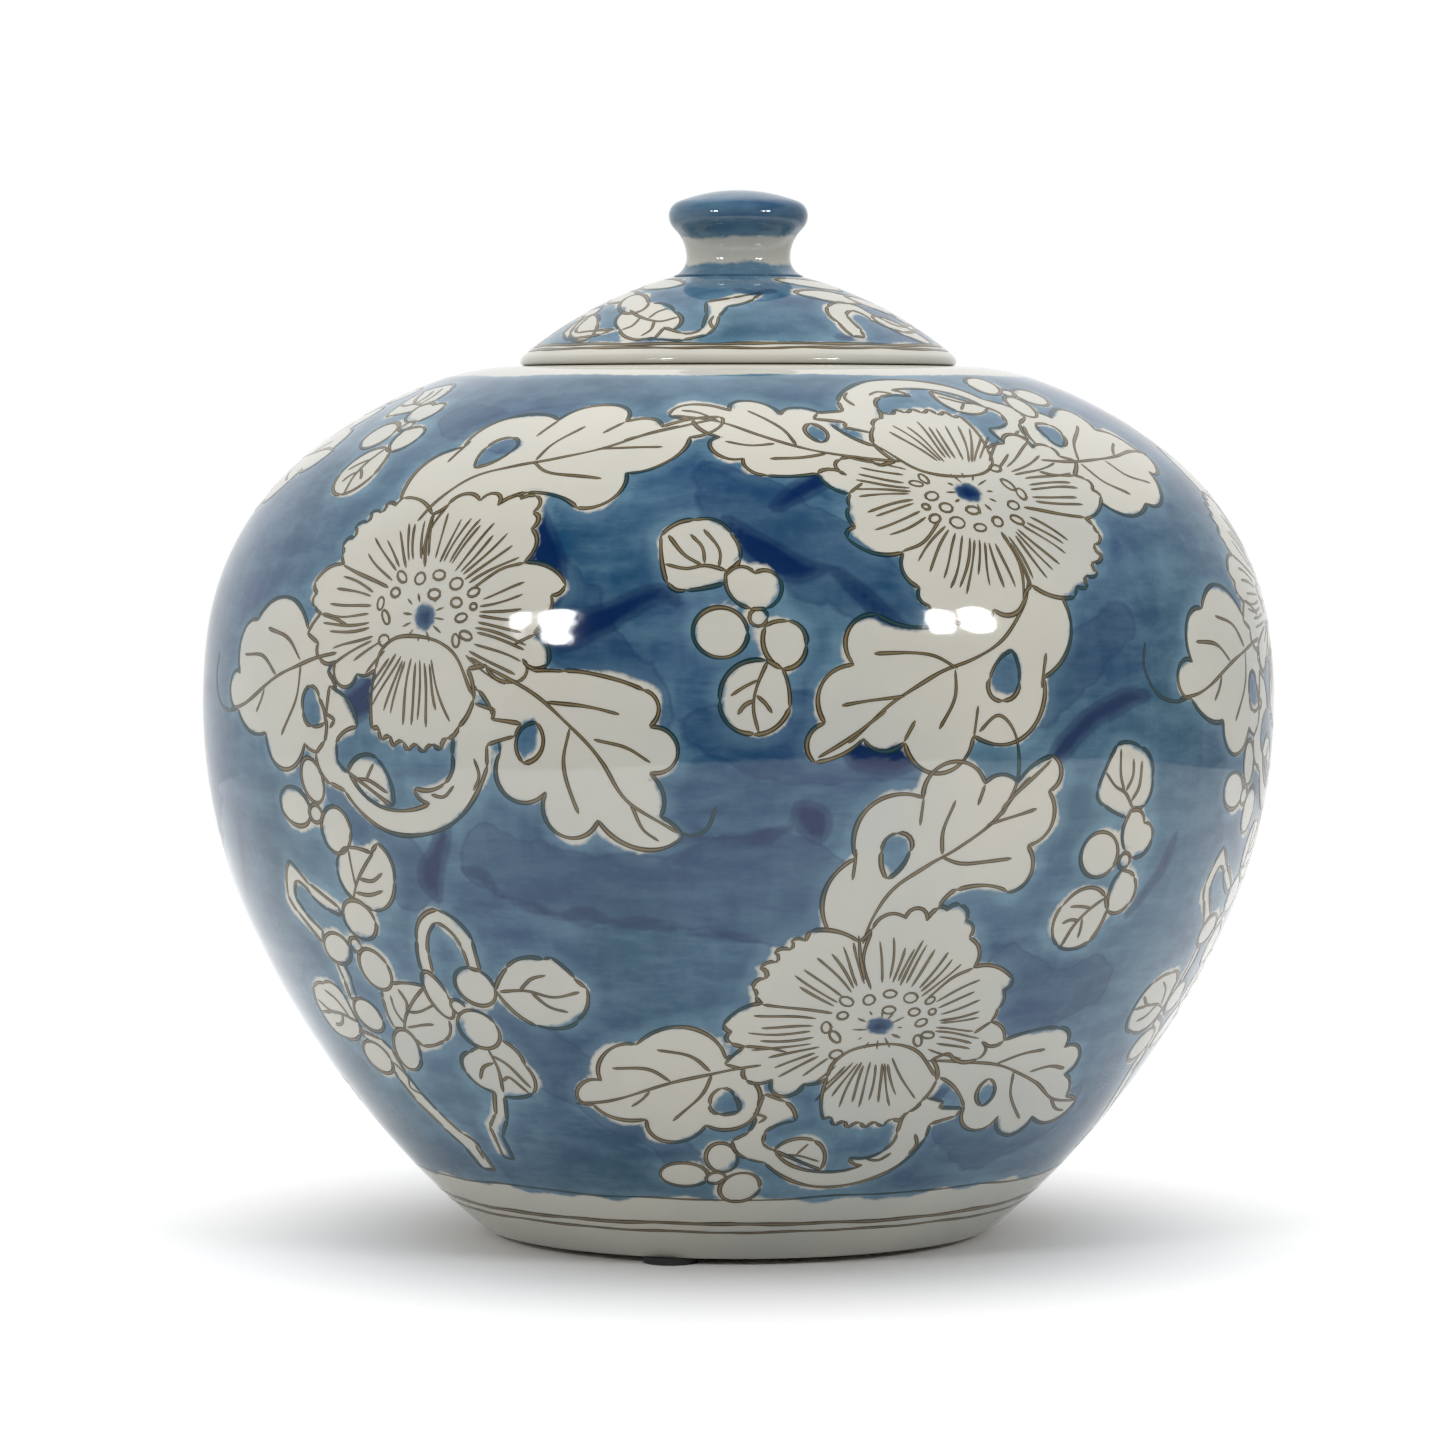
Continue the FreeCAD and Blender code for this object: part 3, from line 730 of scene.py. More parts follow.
class Linework:
    """Brush lines on a surface, as thin ribbons that lie on the glaze."""

    def __init__(self, painting, points_across):
        self.surface = painting.surface
        self.painting = painting
        self.section = np.linspace(-1, 1, points_across)
        self.points = []
        self.faces = []
        self.across = []
        self.reserve = []
        self.count = 0
        self.strokes = 0
        self.random = np.random.RandomState(LINE_SEED)

    def stroke(self, angle, height, width, closed=False):
        """A ribbon along a path given by angle in radians and height in millimetres."""
        radius = self.surface.radius(height)
        if closed:
            across = wrapped(np.roll(angle, -1) - np.roll(angle, 1)) * radius
            along = np.roll(height, -1) - np.roll(height, 1)
        else:
            across = np.gradient(angle) * radius
            along = np.gradient(height)
        length = np.maximum(np.hypot(across, along), 1e-6)
        run = np.concatenate([[0], np.cumsum(np.hypot(np.diff(angle) * radius[1:], np.diff(height)))])
        phase = self.random.uniform(0, 6.28, 3)
        swell = 1
        for (share, wave), start in zip(SWELLS, phase):
            swell = swell + share * np.sin(run / wave + start)
        if not closed:
            to_end = np.minimum(run, run[-1] - run)
            swell *= np.minimum(1, TIP[0] + to_end / TIP[1])
        half = width / 2 * swell
        tremor = TREMOR[0] * np.sin(run / TREMOR[1] + phase[2])
        self.strokes += 1
        lift = LINE_LIFT + LIFT_STEP * (self.strokes % LIFT_LEVELS)
        side = self.section[None, :] * half[:, None] + tremor[:, None]
        angles = angle[:, None] + side * (-along / length)[:, None] / radius[:, None]
        heights = height[:, None] + side * (across / length)[:, None]
        self.points.append(self.surface.place(angles, heights, lift).reshape(-1, 3))
        self.across.append(np.tile(1 - np.abs(self.section), len(angle)))
        self.reserve.append(self.painting.sample("reserve", angles, heights).reshape(-1))
        wide = len(self.section)
        rows = len(angle) if closed else len(angle) - 1
        for row in range(rows):
            here = self.count + row * wide
            there = self.count + (row + 1) % len(angle) * wide
            for column in range(wide - 1):
                self.faces.append((here + column, there + column, there + column + 1, here + column + 1))
        self.count += len(angle) * wide

    def visible_runs(self, span, later_loops):
        """The stretches of a span that no later shape covers."""
        hidden = np.zeros(len(span), bool)
        for loop, _ in later_loops:
            hidden |= signed_distance(span, loop) > HIDDEN_DEPTH
        runs = []
        start = None
        for index, covered in enumerate(hidden):
            if not covered and start is None:
                start = index
            if covered and start is not None:
                runs.append(span[start:index])
                start = None
        if start is not None:
            runs.append(span[start:])
        return [run for run in runs if len(run) > 2]

    def add_outlines(self, placement):
        width = OUTLINE_WIDTH * placement.size ** 0.5
        loops = loops_of(placement.motif)
        for index, (_, spans) in enumerate(loops):
            for span in spans:
                for run in self.visible_runs(span, loops[index + 1:]):
                    self.stroke(*placement.on_surface(run), width)
        for corners in placement.motif["holes"]:
            for span in shape_spans(corners):
                self.stroke(*placement.on_surface(span), width)

    def add_veins(self, placement):
        motif = placement.motif
        for points in motif["strokes"]:
            self.stroke(*placement.on_surface(smooth_stroke(points)), VEIN_WIDTH)
        for oval in motif["ovals"]:
            loop = ellipse(*oval)
            self.stroke(*placement.on_surface(np.vstack([loop, loop[:2]])), FINE_WIDTH)
        for fan in motif["rays"]:
            self.add_rays(placement, *fan)

    def add_rays(self, placement, first, last, count, inner, outer):
        lean = self.random.uniform(-RAY_LEAN, RAY_LEAN, count)
        for turn in np.radians(np.linspace(first, last, count) + lean):
            start = inner + self.random.uniform(*RAY_START_SPREAD)
            end = outer + self.random.uniform(*RAY_END_SPREAD) * min(1, outer / RAY_FULL_REACH)
            reach = np.linspace(start, end, max(3, math.ceil((end - start) / DRAW_STEP)))
            bend = turn + RAY_BEND * np.sin(reach / 5 + turn * 9)
            points = np.stack([reach * np.cos(bend), reach * np.sin(bend)], 1) + placement.motif["centre"]
            self.stroke(*placement.on_surface(points), FINE_WIDTH)

    def add_ring(self, height, width, waver=RING_WAVER):
        angle = full_turn(round(2 * math.pi * self.surface.radius(height) / RING_STEP))
        heights = height + waver * (np.sin(5 * angle + height) + 0.6 * np.sin(13 * angle + 2 * height))
        self.stroke(angle, heights, width, closed=True)

    def make(self, name):
        mesh = bpy.data.meshes.new(name)
        mesh.from_pydata(np.vstack(self.points).tolist(), [], self.faces)
        set_attribute(mesh, "across", np.concatenate(self.across))
        set_attribute(mesh, "reserve", np.concatenate(self.reserve))
        return finish_mesh(name, mesh)


# ---- Meshes ----
def set_attribute(mesh, name, values):
    attribute = mesh.attributes.new(name, "FLOAT", "POINT")
    attribute.data.foreach_set("value", np.asarray(values, np.float32).ravel())


def finish_mesh(name, mesh):
    mesh.polygons.foreach_set("use_smooth", [True] * len(mesh.polygons))
    mesh.update()
    piece = bpy.data.objects.new(name, mesh)
    bpy.context.scene.collection.objects.link(piece)
    return piece


def lathe(name, r, z, segments, fields):
    """A closed turned mesh from a profile between two points of the axis."""
    r = np.array(r)
    z = np.array(z)
    turn = full_turn(segments)
    rings = np.stack([r[1:-1, None] * np.sin(turn), -r[1:-1, None] * np.cos(turn),
                      np.repeat(z[1:-1, None], segments, 1)], -1)
    points = np.vstack([[[0, 0, z[0]]], rings.reshape(-1, 3), [[0, 0, z[-1]]]]) * MM
    ring_count = len(r) - 2
    index = 1 + np.arange(ring_count * segments).reshape(ring_count, segments)
    following = np.roll(index, -1, axis=1)
    quads = np.stack([index[:-1], following[:-1], following[1:], index[1:]], -1).reshape(-1, 4).tolist()
    last = len(points) - 1
    first_fan = [(0, b, a) for a, b in zip(index[0].tolist(), following[0].tolist())]
    last_fan = [(last, a, b) for a, b in zip(index[-1].tolist(), following[-1].tolist())]
    mesh = bpy.data.meshes.new(name)
    mesh.from_pydata(points.tolist(), [], quads + first_fan + last_fan)
    for field, values in fields.items():
        values = np.broadcast_to(values, (len(r), segments))
        flat = np.concatenate([[values[0, 0]], values[1:-1].ravel(), [values[-1, 0]]])
        set_attribute(mesh, field, flat)
    return finish_mesh(name, mesh)


# ---- Material nodes ----
class Nodes:
    """Short ways to add and join the nodes in front of a material's or a world's shader."""

    def __init__(self, owner, shader):
        owner.use_nodes = True
        self.tree = owner.node_tree
        self.shader = self.tree.nodes[shader]

    def node(self, kind, **settings):
        made = self.tree.nodes.new(kind)
        for name, value in settings.items():
            setattr(made, name, value)
        return made

    def join(self, source, target):
        if isinstance(source, (int, float, tuple)):
            target.default_value = source
        else:
            self.tree.links.new(source, target)

    def attribute(self, name):
        return self.node("ShaderNodeAttribute", attribute_name=name).outputs["Fac"]

    def position(self, stretch=(1, 1, 1)):
        where = self.node("ShaderNodeTexCoord").outputs["Object"]
        scaled = self.node("ShaderNodeVectorMath", operation="MULTIPLY")
        self.join(where, scaled.inputs[0])
        scaled.inputs[1].default_value = stretch
        return scaled.outputs[0]

    def direction(self):
        """The x, y and z of the direction in which a world is seen."""
        split = self.node("ShaderNodeSeparateXYZ")
        self.join(self.node("ShaderNodeTexCoord").outputs["Generated"], split.inputs[0])
        return split.outputs

    def noise(self, scale, detail=3.0, roughness=0.5, stretch=(1, 1, 1)):
        made = self.node("ShaderNodeTexNoise")
        self.join(self.position(stretch), made.inputs["Vector"])
        made.inputs["Scale"].default_value = scale
        made.inputs["Detail"].default_value = detail
        made.inputs["Roughness"].default_value = roughness
        return made.outputs["Fac"]

    def wobble(self, reach, scale, detail=3.0, roughness=0.5):
        """Noise about zero, up to half of reach each way."""
        centred = self.math("SUBTRACT", self.noise(scale, detail, roughness), 0.5)
        return self.math("MULTIPLY", centred, reach)

    def math(self, operation, *values):
        made = self.node("ShaderNodeMath", operation=operation)
        for value, socket in zip(values, made.inputs):
            self.join(value, socket)
        return made.outputs[0]

    def total(self, first, *others):
        for other in others:
            first = self.math("ADD", first, other)
        return first

    def ramp(self, value, low, high, start=0.0, end=1.0):
        """A smooth step from start to end as value goes from low to high."""
        made = self.node("ShaderNodeMapRange", interpolation_type="SMOOTHSTEP")
        self.join(value, made.inputs["Value"])
        made.inputs["From Min"].default_value = low
        made.inputs["From Max"].default_value = high
        made.inputs["To Min"].default_value = start
        made.inputs["To Max"].default_value = end
        return made.outputs["Result"]

    def mix(self, factor, first, second):
        made = self.node("ShaderNodeMix", data_type="RGBA")
        self.join(factor, made.inputs[0])
        self.join(first, made.inputs[6])
        self.join(second, made.inputs[7])
        return made.outputs[2]

    def bump(self, height, distance, strength=1.0):
        made = self.node("ShaderNodeBump")
        self.join(height, made.inputs["Height"])
        made.inputs["Distance"].default_value = distance
        made.inputs["Strength"].default_value = strength
        self.join(made.outputs["Normal"], self.shader.inputs["Normal"])


WHITE_CLAY = (0.435, 0.42, 0.365, 1)
WHITE_CLAY_COOL = (0.375, 0.378, 0.35, 1)
BARE_CLAY = (0.46, 0.39, 0.30, 1)
BARE_CLAY_PALE = (0.56, 0.49, 0.40, 1)
BLUE_LIGHT = (0.105, 0.190, 0.250, 1)
BLUE_MIDDLE = (0.008, 0.045, 0.100, 1)
BLUE_VIOLET = (0.014, 0.042, 0.112, 1)
BLUE_TEAL = (0.005, 0.050, 0.088, 1)
BLUE_DEEP = (0.002, 0.017, 0.068, 1)
BLUE_STROKE = (0.0005, 0.012, 0.058, 1)
LINE_EDGE = (0.036, 0.026, 0.013, 1)
LINE_CORE = (0.145, 0.115, 0.066, 1)
LINE_EDGE_IN_BLUE = (0.005, 0.021, 0.030, 1)
LINE_CORE_IN_BLUE = (0.022, 0.050, 0.052, 1)
FOAM_DARK = (0.006, 0.006, 0.007, 1)
FOAM_PALE = (0.03, 0.03, 0.031, 1)
PAPER_GREY = (0.86, 0.86, 0.86, 1)
PAPER_PALE = (0.88, 0.88, 0.88, 1)
GLAZE_IOR = 1.46
GLAZE_ROUGHNESS = 0.07
CLAY_ROUGHNESS = 0.75
PAPER_ROUGHNESS = 0.8


def add_glaze_waver(nodes):
    """The slight unevenness of a thick glaze over thrown clay."""
    rings = nodes.noise(9.0, 1.0, 0.5, stretch=(1, 1, 9))
    peel = nodes.noise(190.0, 2.0)
    nodes.bump(nodes.math("ADD", rings, nodes.math("MULTIPLY", peel, 0.045)), 0.0014, 0.5)


def wash_colour(nodes, edge, ragged, loose):
    """Cobalt wash: its tint, how thinly it is brushed on, its second coats and its dark strokes."""
    tint = nodes.mix(nodes.ramp(nodes.noise(13.0), 0.38, 0.62), BLUE_TEAL, BLUE_VIOLET)
    tint = nodes.mix(nodes.ramp(nodes.noise(31.0, 2.0), 0.35, 0.65), tint, BLUE_MIDDLE)
    clouds = nodes.ramp(nodes.noise(20.0, 5.0, 0.62), 0.36, 0.66, 0.0, 0.30)
    streaks = nodes.ramp(nodes.noise(60.0, 6.0, 0.66, stretch=(1, 1, 3.5)), 0.36, 0.68, 0.0, 0.30)
    runs = nodes.ramp(nodes.noise(85.0, 3.0, 0.6, stretch=(2.2, 2.2, 0.35)), 0.45, 0.75, 0.0, 0.12)
    halo = nodes.ramp(edge, -4.5, -0.8, 0.0, 0.34)
    wash = nodes.mix(nodes.total(clouds, streaks, runs, halo), tint, BLUE_LIGHT)

    wander = nodes.total(nodes.wobble(20.0, 42.0), nodes.math("MULTIPLY", ragged, 0.6))
    overlap = nodes.total(nodes.attribute("coat"), wander)
    wash = nodes.mix(nodes.ramp(overlap, -0.5, 0.4, 0.0, 0.30), wash, BLUE_DEEP)
    shore = nodes.math("SUBTRACT", 1.0, nodes.math("ABSOLUTE", overlap))
    wash = nodes.mix(nodes.ramp(shore, 0.2, 0.9, 0.0, 0.26), wash, BLUE_DEEP)

    dark = nodes.total(nodes.attribute("accent"), nodes.math("MULTIPLY", loose, 1.6))
    depth = nodes.total(nodes.ramp(dark, -0.7, 0.5, 0.0, 0.55), nodes.ramp(dark, 0.6, 2.2, 0.0, 0.40))
    return nodes.mix(depth, wash, BLUE_STROKE)


def glaze_material():
    """Blue wash and white reserves under a glossy glaze, and bare clay where the jar and lid stand."""
    material = bpy.data.materials.new("painted_glaze")
    nodes = Nodes(material, "Principled BSDF")
    ragged = nodes.wobble(1.6, 420.0, 4.0, 0.6)
    loose = nodes.wobble(1.6, 90.0, 2.0)
    edge = nodes.math("ADD", nodes.attribute("reserve"), nodes.math("ADD", ragged, loose))
    clay = nodes.mix(nodes.ramp(nodes.noise(14.0, 4.0), 0.35, 0.7), WHITE_CLAY, WHITE_CLAY_COOL)
    colour = nodes.mix(nodes.ramp(edge, -0.75, 0.35), wash_colour(nodes, edge, ragged, loose), clay)
    bare = nodes.attribute("bare")
    grain = nodes.mix(nodes.noise(700.0, 4.0, 0.7), BARE_CLAY, BARE_CLAY_PALE)
    nodes.join(nodes.mix(bare, colour, grain), nodes.shader.inputs["Base Color"])
    roughness = nodes.ramp(bare, 0.3, 0.7, GLAZE_ROUGHNESS, CLAY_ROUGHNESS)
    nodes.join(roughness, nodes.shader.inputs["Roughness"])
    nodes.shader.inputs["IOR"].default_value = GLAZE_IOR
    add_glaze_waver(nodes)
    return material


def line_material():
    """Iron-brown brush lines with dark edges, which turn to dark teal under the blue wash."""
    material = bpy.data.materials.new("painted_line")
    nodes = Nodes(material, "Principled BSDF")
    load = nodes.math("ADD", nodes.attribute("across"), nodes.wobble(0.9, 160.0))
    core = nodes.ramp(load, 0.30, 0.85)
    brown = nodes.mix(core, LINE_EDGE, LINE_CORE)
    teal = nodes.mix(core, LINE_EDGE_IN_BLUE, LINE_CORE_IN_BLUE)
    colour = nodes.mix(nodes.ramp(nodes.attribute("reserve"), -0.7, 0.3), teal, brown)
    nodes.join(colour, nodes.shader.inputs["Base Color"])
    nodes.shader.inputs["Roughness"].default_value = GLAZE_ROUGHNESS
    nodes.shader.inputs["IOR"].default_value = GLAZE_IOR
    add_glaze_waver(nodes)
    return material


def pad_material():
    """Black foam rubber with open cells."""
    material = bpy.data.materials.new("foam_rubber")
    nodes = Nodes(material, "Principled BSDF")
    cells = nodes.noise(2200.0, 3.0, 0.7)
    nodes.join(nodes.mix(cells, FOAM_DARK, FOAM_PALE), nodes.shader.inputs["Base Color"])
    nodes.join(nodes.ramp(cells, 0.3, 0.7, 0.7, 0.95), nodes.shader.inputs["Roughness"])
    nodes.bump(cells, 0.0002)
    return material


def paper_material():
    material = bpy.data.materials.new("backdrop_paper")
    nodes = Nodes(material, "Principled BSDF")
    nodes.join(nodes.mix(nodes.noise(300.0), PAPER_GREY, PAPER_PALE), nodes.shader.inputs["Base Color"])
    nodes.shader.inputs["Roughness"].default_value = PAPER_ROUGHNESS
    return material


# ---- Pieces ----
def wall_surface():
    pen = Pen(FOOT_RADIUS - FOOT_EDGE_ROUND, FOOT_Z, WALL_SAMPLE_STEP)
    draw_wall(pen)
    return Surface(pen.r, pen.z)


def draw_wall(pen):
    pen.arc(FOOT_EDGE_ROUND, 0.0, FOOT_HEADING)
    heading = FOOT_HEADING
    for radius, next_heading in WALL_ARCS:
        pen.arc(radius, heading, next_heading)
        heading = next_heading


def draw_dome(pen):
    pen.arc(LID_EDGE_ROUND, 0.0, 90.0)
    pen.arc(LID_EDGE_ARC[0], 90.0, LID_EDGE_ARC[1])
    pen.arc(LID_DOME_ARC[0], LID_EDGE_ARC[1], LID_DOME_ARC[1])
    pen.arc(pen.r[-1] / math.sin(math.radians(LID_DOME_ARC[1])), LID_DOME_ARC[1], 180.0)


def dome_surface():
    pen = Pen(LID_RADIUS - LID_EDGE_ROUND, LID_SEAT_Z, DOME_SAMPLE_STEP)
    draw_dome(pen)
    return Surface(pen.r, pen.z)


def glazed_piece(name, pen, segments, painting, painted, bare_stretches):
    """A turned piece: painted on the rings from the first to the last of painted, bare clay on the
    rings after the first and up to the last of each bare stretch, and white glaze elsewhere."""
    rings = slice(painted[0], painted[1] + 1)
    run = np.hypot(np.diff(pen.r[rings]), np.diff(pen.z[rings]))
    angles, heights = np.meshgrid(full_turn(segments), np.concatenate([[0], np.cumsum(run)]))
    fields = {"bare": np.zeros((len(pen.r), 1))}
    for start, end in bare_stretches:
        fields["bare"][start + 1:end + 1] = 1
    for field, blank in (("reserve", FAR), ("accent", -FAR), ("coat", -FAR)):
        fields[field] = np.full((len(pen.r), segments), blank)
        fields[field][rings] = painting.sample(field, angles, heights)
    return lathe(name, pen.r, pen.z, segments, fields)


def make_jar(painting):
    base_z = FOOT_Z + FOOT_RECESS_DEPTH
    pen = Pen(0.0, base_z, PLAIN_STEP)
    pen.line_to(FOOT_RING_INNER_RADIUS - FOOT_RECESS_ROUND, base_z)
    pen.arc(FOOT_RECESS_ROUND, 0.0, -90.0)
    pen.line_to(FOOT_RING_INNER_RADIUS, FOOT_Z + FOOT_EDGE_ROUND)
    foot_start = len(pen.r) - 1
    pen.arc(FOOT_EDGE_ROUND, -90.0, 0.0)
    pen.line_to(FOOT_RADIUS - FOOT_EDGE_ROUND, FOOT_Z)
    wall_start = len(pen.r) - 1
    pen.step = GLAZE_STEP
    draw_wall(pen)
    wall_end = len(pen.r) - 1
    seat_z = pen.z[-1]
    seat_radius = pen.r[-1]
    pen.step = PLAIN_STEP
    pen.line_to(MOUTH_RADIUS + LIP_ROUND, seat_z)
    pen.arc(LIP_ROUND, 180.0, 270.0)
    seat_end = len(pen.r) - 1
    pen.line_to(MOUTH_RADIUS, seat_z - WALL_THICKNESS + LIP_ROUND)
    pen.arc(LIP_ROUND, 270.0, 360.0)
    pen.line_to(seat_radius, seat_z - WALL_THICKNESS)
    lower_headings = [FLOOR_HEADING] + [heading for _, heading in WALL_ARCS[:-1]]
    for (radius, upper_heading), lower_heading in zip(reversed(WALL_ARCS), reversed(lower_headings)):
        pen.arc(radius - WALL_THICKNESS, upper_heading + 180.0, lower_heading + 180.0)
    pen.arc(FLOOR_ROUND, FLOOR_HEADING + 180.0, 180.0)
    pen.line_to(0.0, pen.z[-1])

    return glazed_piece("jar_glazed_body", pen, JAR_SEGMENTS, painting, (wall_start, wall_end),
                        [(foot_start, wall_start), (wall_end, seat_end)])


def make_lid(painting):
    crown = dome_surface()
    inner_dome_radius = LID_DOME_ARC[0] - LID_THICKNESS
    edge_angle = math.radians(LID_EDGE_ARC[1])
    edge_r = LID_RADIUS - LID_EDGE_ARC[0] * (1 - math.sin(edge_angle))
    inner_r = edge_r - LID_THICKNESS * math.sin(edge_angle)
    reach = FLANGE_INNER_RADIUS - FLANGE_INNER_ROUND - inner_r + inner_dome_radius * math.sin(edge_angle)
    meeting = 180.0 - math.degrees(math.asin(reach / (inner_dome_radius - FLANGE_INNER_ROUND)))
    dome_top_r = edge_r + LID_DOME_ARC[0] * (math.sin(math.radians(LID_DOME_ARC[1])) - math.sin(edge_angle))
    crown_radius = dome_top_r / math.sin(math.radians(LID_DOME_ARC[1]))
    bottom_z = LID_SEAT_Z - FLANGE_DEPTH

    pen = Pen(0.0, crown.z[-1] - LID_THICKNESS, LID_INSIDE_STEP)
    pen.arc(crown_radius - LID_THICKNESS, 360.0, LID_DOME_ARC[1] + 180.0)
    pen.arc(inner_dome_radius, LID_DOME_ARC[1] + 180.0, meeting + 180.0)
    pen.arc(FLANGE_INNER_ROUND, meeting + 180.0, 270.0)
    pen.line_to(FLANGE_INNER_RADIUS, bottom_z + FLANGE_TIP_ROUND)
    bare_start = len(pen.r) - 1
    pen.arc(FLANGE_TIP_ROUND, 270.0, 360.0)
    pen.line_to(FLANGE_OUTER_RADIUS - FLANGE_TIP_ROUND, bottom_z)
    pen.arc(FLANGE_TIP_ROUND, 0.0, 90.0)
    pen.line_to(FLANGE_OUTER_RADIUS, LID_SEAT_Z)
    pen.line_to(LID_RADIUS - LID_EDGE_ROUND, LID_SEAT_Z)
    dome_start = len(pen.r) - 1
    pen.step = DOME_STEP
    draw_dome(pen)
    return glazed_piece("lid_glazed_dome", pen, LID_SEGMENTS, painting, (dome_start, len(pen.r) - 1),
                        [(bare_start, dome_start)])


def make_knob():
    crown = dome_surface()
    narrowing = crown.height > DOME_NARROWS
    base_z = np.interp(-KNOB_BASE_RADIUS, -crown.r[narrowing], crown.z[narrowing])
    pen = Pen(0.0, crown.z[-1], KNOB_STEP)
    pen.line_to(KNOB_BASE_RADIUS, base_z)
    pen.line_to(KNOB_BASE_RADIUS, base_z + KNOB_BASE_STEP)
    start = len(pen.r) - 1
    for radius, heading_in, heading_out in KNOB_ARCS:
        pen.arc(radius, heading_in, heading_out)
    last_heading = KNOB_ARCS[-1][2]
    pen.arc(pen.r[-1] / math.sin(math.radians(last_heading)), last_heading, 180.0)
    height = np.zeros(len(pen.r))
    height[start:] = Surface(pen.r[start:], pen.z[start:]).height
    angles, heights = np.meshgrid(full_turn(KNOB_SEGMENTS), height)
    lower = KNOB_WHITE_BAND[0] + 0.3 * np.sin(3 * angles + 1) + 0.2 * np.sin(7 * angles)
    upper = KNOB_WHITE_BAND[1] + 0.3 * np.sin(2 * angles) + 0.2 * np.sin(5 * angles + 2)
    reserve = np.minimum(heights - lower, upper - heights)
    return lathe("knob_glazed_finial", pen.r, pen.z, KNOB_SEGMENTS,
                 {"reserve": reserve, "accent": -FAR, "coat": -FAR, "bare": 0.0})


def dress(piece, material, body, slot, *nodes):
    piece.data.materials.append(material)
    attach(piece, body)
    if nodes:
        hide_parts(*nodes)


def spread_round(surface, plan, random):
    """The placements of a plan; every copy after a motif's first has a hand's variation."""
    placements = []
    for motif, height, turn, size, angles in plan:
        for index, angle in enumerate(angles):
            vary = random.uniform(-1, 1, 4) * (index > 0)
            place = angle + COPY_ANGLE * vary[0], height + COPY_HEIGHT * vary[1]
            form = turn + COPY_TURN * vary[2], size * (1 + COPY_SIZE * vary[3])
            placements.append(Placement(surface, motif, *place, *form))
    return placements


def paint(surface, plan, seed):
    """A painting with a plan's motifs in it, and their placements."""
    painting = Painting(surface)
    placements = spread_round(surface, plan, np.random.RandomState(seed))
    for placement in placements:
        painting.add_motif(placement)
    return painting, placements


def draw_lines(painting, placements, rings):
    """The outlines and the fine lines over a painting whose wash is finished."""
    outlines = Linework(painting, OUTLINE_POINTS)
    veins = Linework(painting, VEIN_POINTS)
    for placement in placements:
        outlines.add_outlines(placement)
        veins.add_veins(placement)
    for ring in rings:
        outlines.add_ring(*ring)
    return outlines, veins


def paint_jar():
    painting, placements = paint(wall_surface(), JAR_PLAN, JAR_SEED)
    for points in JAR_ACCENTS:
        painting.add_stroke("accent", points)
    for points in JAR_COATS:
        painting.add_stroke("coat", points)
    ragged = 0.7 * np.sin(23 * painting.angle) + 0.5 * np.sin(41 * painting.angle + 1)
    ragged += 0.8 * np.sin(7 * painting.angle + 2)
    painting.keep_white(BLUE_BOTTOM + ragged - painting.height)
    top_edge = BLUE_TOP + 0.5 * np.sin(9 * painting.angle)
    painting.keep_white(painting.height - top_edge)
    return painting, *draw_lines(painting, placements, FOOT_LINES + [WASH_EDGE_LINE])


def paint_lid():
    painting, placements = paint(dome_surface(), LID_PLAN, LID_SEED)
    edge = LID_BLUE_BOTTOM + 0.3 * np.sin(7 * painting.angle) + 0.25 * np.sin(15 * painting.angle)
    painting.keep_white(edge - painting.height)
    return painting, *draw_lines(painting, placements, LID_LINES)


def make_pieces():
    glaze = glaze_material()
    line = line_material()
    painting, outlines, veins = paint_jar()
    dress(make_jar(painting), glaze, "jar", "jar_porcelain", "jar_body")
    dress(outlines.make("jar_outlines"), line, "jar", "jar_porcelain")
    dress(veins.make("jar_veins"), line, "jar", "jar_porcelain")
    painting, outlines, veins = paint_lid()
    dress(make_lid(painting), glaze, "lid", "lid_porcelain", "lid")
    dress(outlines.make("lid_outlines"), line, "lid", "lid_porcelain")
    dress(veins.make("lid_veins"), line, "lid", "lid_porcelain")
    dress(make_knob(), glaze, "lid", "knob_porcelain", "knob")
    pad = pad_material()
    for name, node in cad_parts.items():
        if name.startswith("foot_pad"):
            node.data.materials.clear()
            node.data.materials.append(pad)


# ---- Stage, light and camera ----
# The stage's lengths are in metres, and its angles in degrees.
CAMERA_DISTANCE = 1.300
CAMERA_HEIGHT = 0.1899
CAMERA_TILT = 3.046
CAMERA_SIDESTEP = -0.00375
SENSOR = 36.0
LENS_PER_SENSOR = 3.791          # focal length, as a multiple of the sensor's width
FLOOR_REACH = 0.85
FLOOR_CORNERS = 96
TENT_STRENGTH = 0.90
OPENING_STRENGTH = 0.03
ROOF_EDGE = (96, 122)            # degrees up from the front, over which the open front turns to roof
SIDE_EDGE = (0.66, 0.90)         # sideways share of a direction, over which it turns to side wall
RIGHT_EDGE = (0.25, 0.95)        # the same share to the right, over which the wall falls into shade
RIGHT_SHADE = 0.5
LAMP_DISTANCE = 1.5
LAMP_AIM = (0, 0, 0.13)
# (name, azimuth, elevation, width, power) of each lamp; azimuth 0 is in front, and it grows to the right.
LAMPS = [
    ("left_lamp", -38.5, 20.5, 0.20, 4),
    ("left_small_lamp", -46.5, 20, 0.11, 1.4),
    ("right_lamp", 51, 20.5, 0.20, 4),
    ("right_small_lamp", 42.5, 20, 0.16, 2.6),
]
OVERHEAD_PANEL = ("overhead_panel", 0, 88, 2.6, 48)


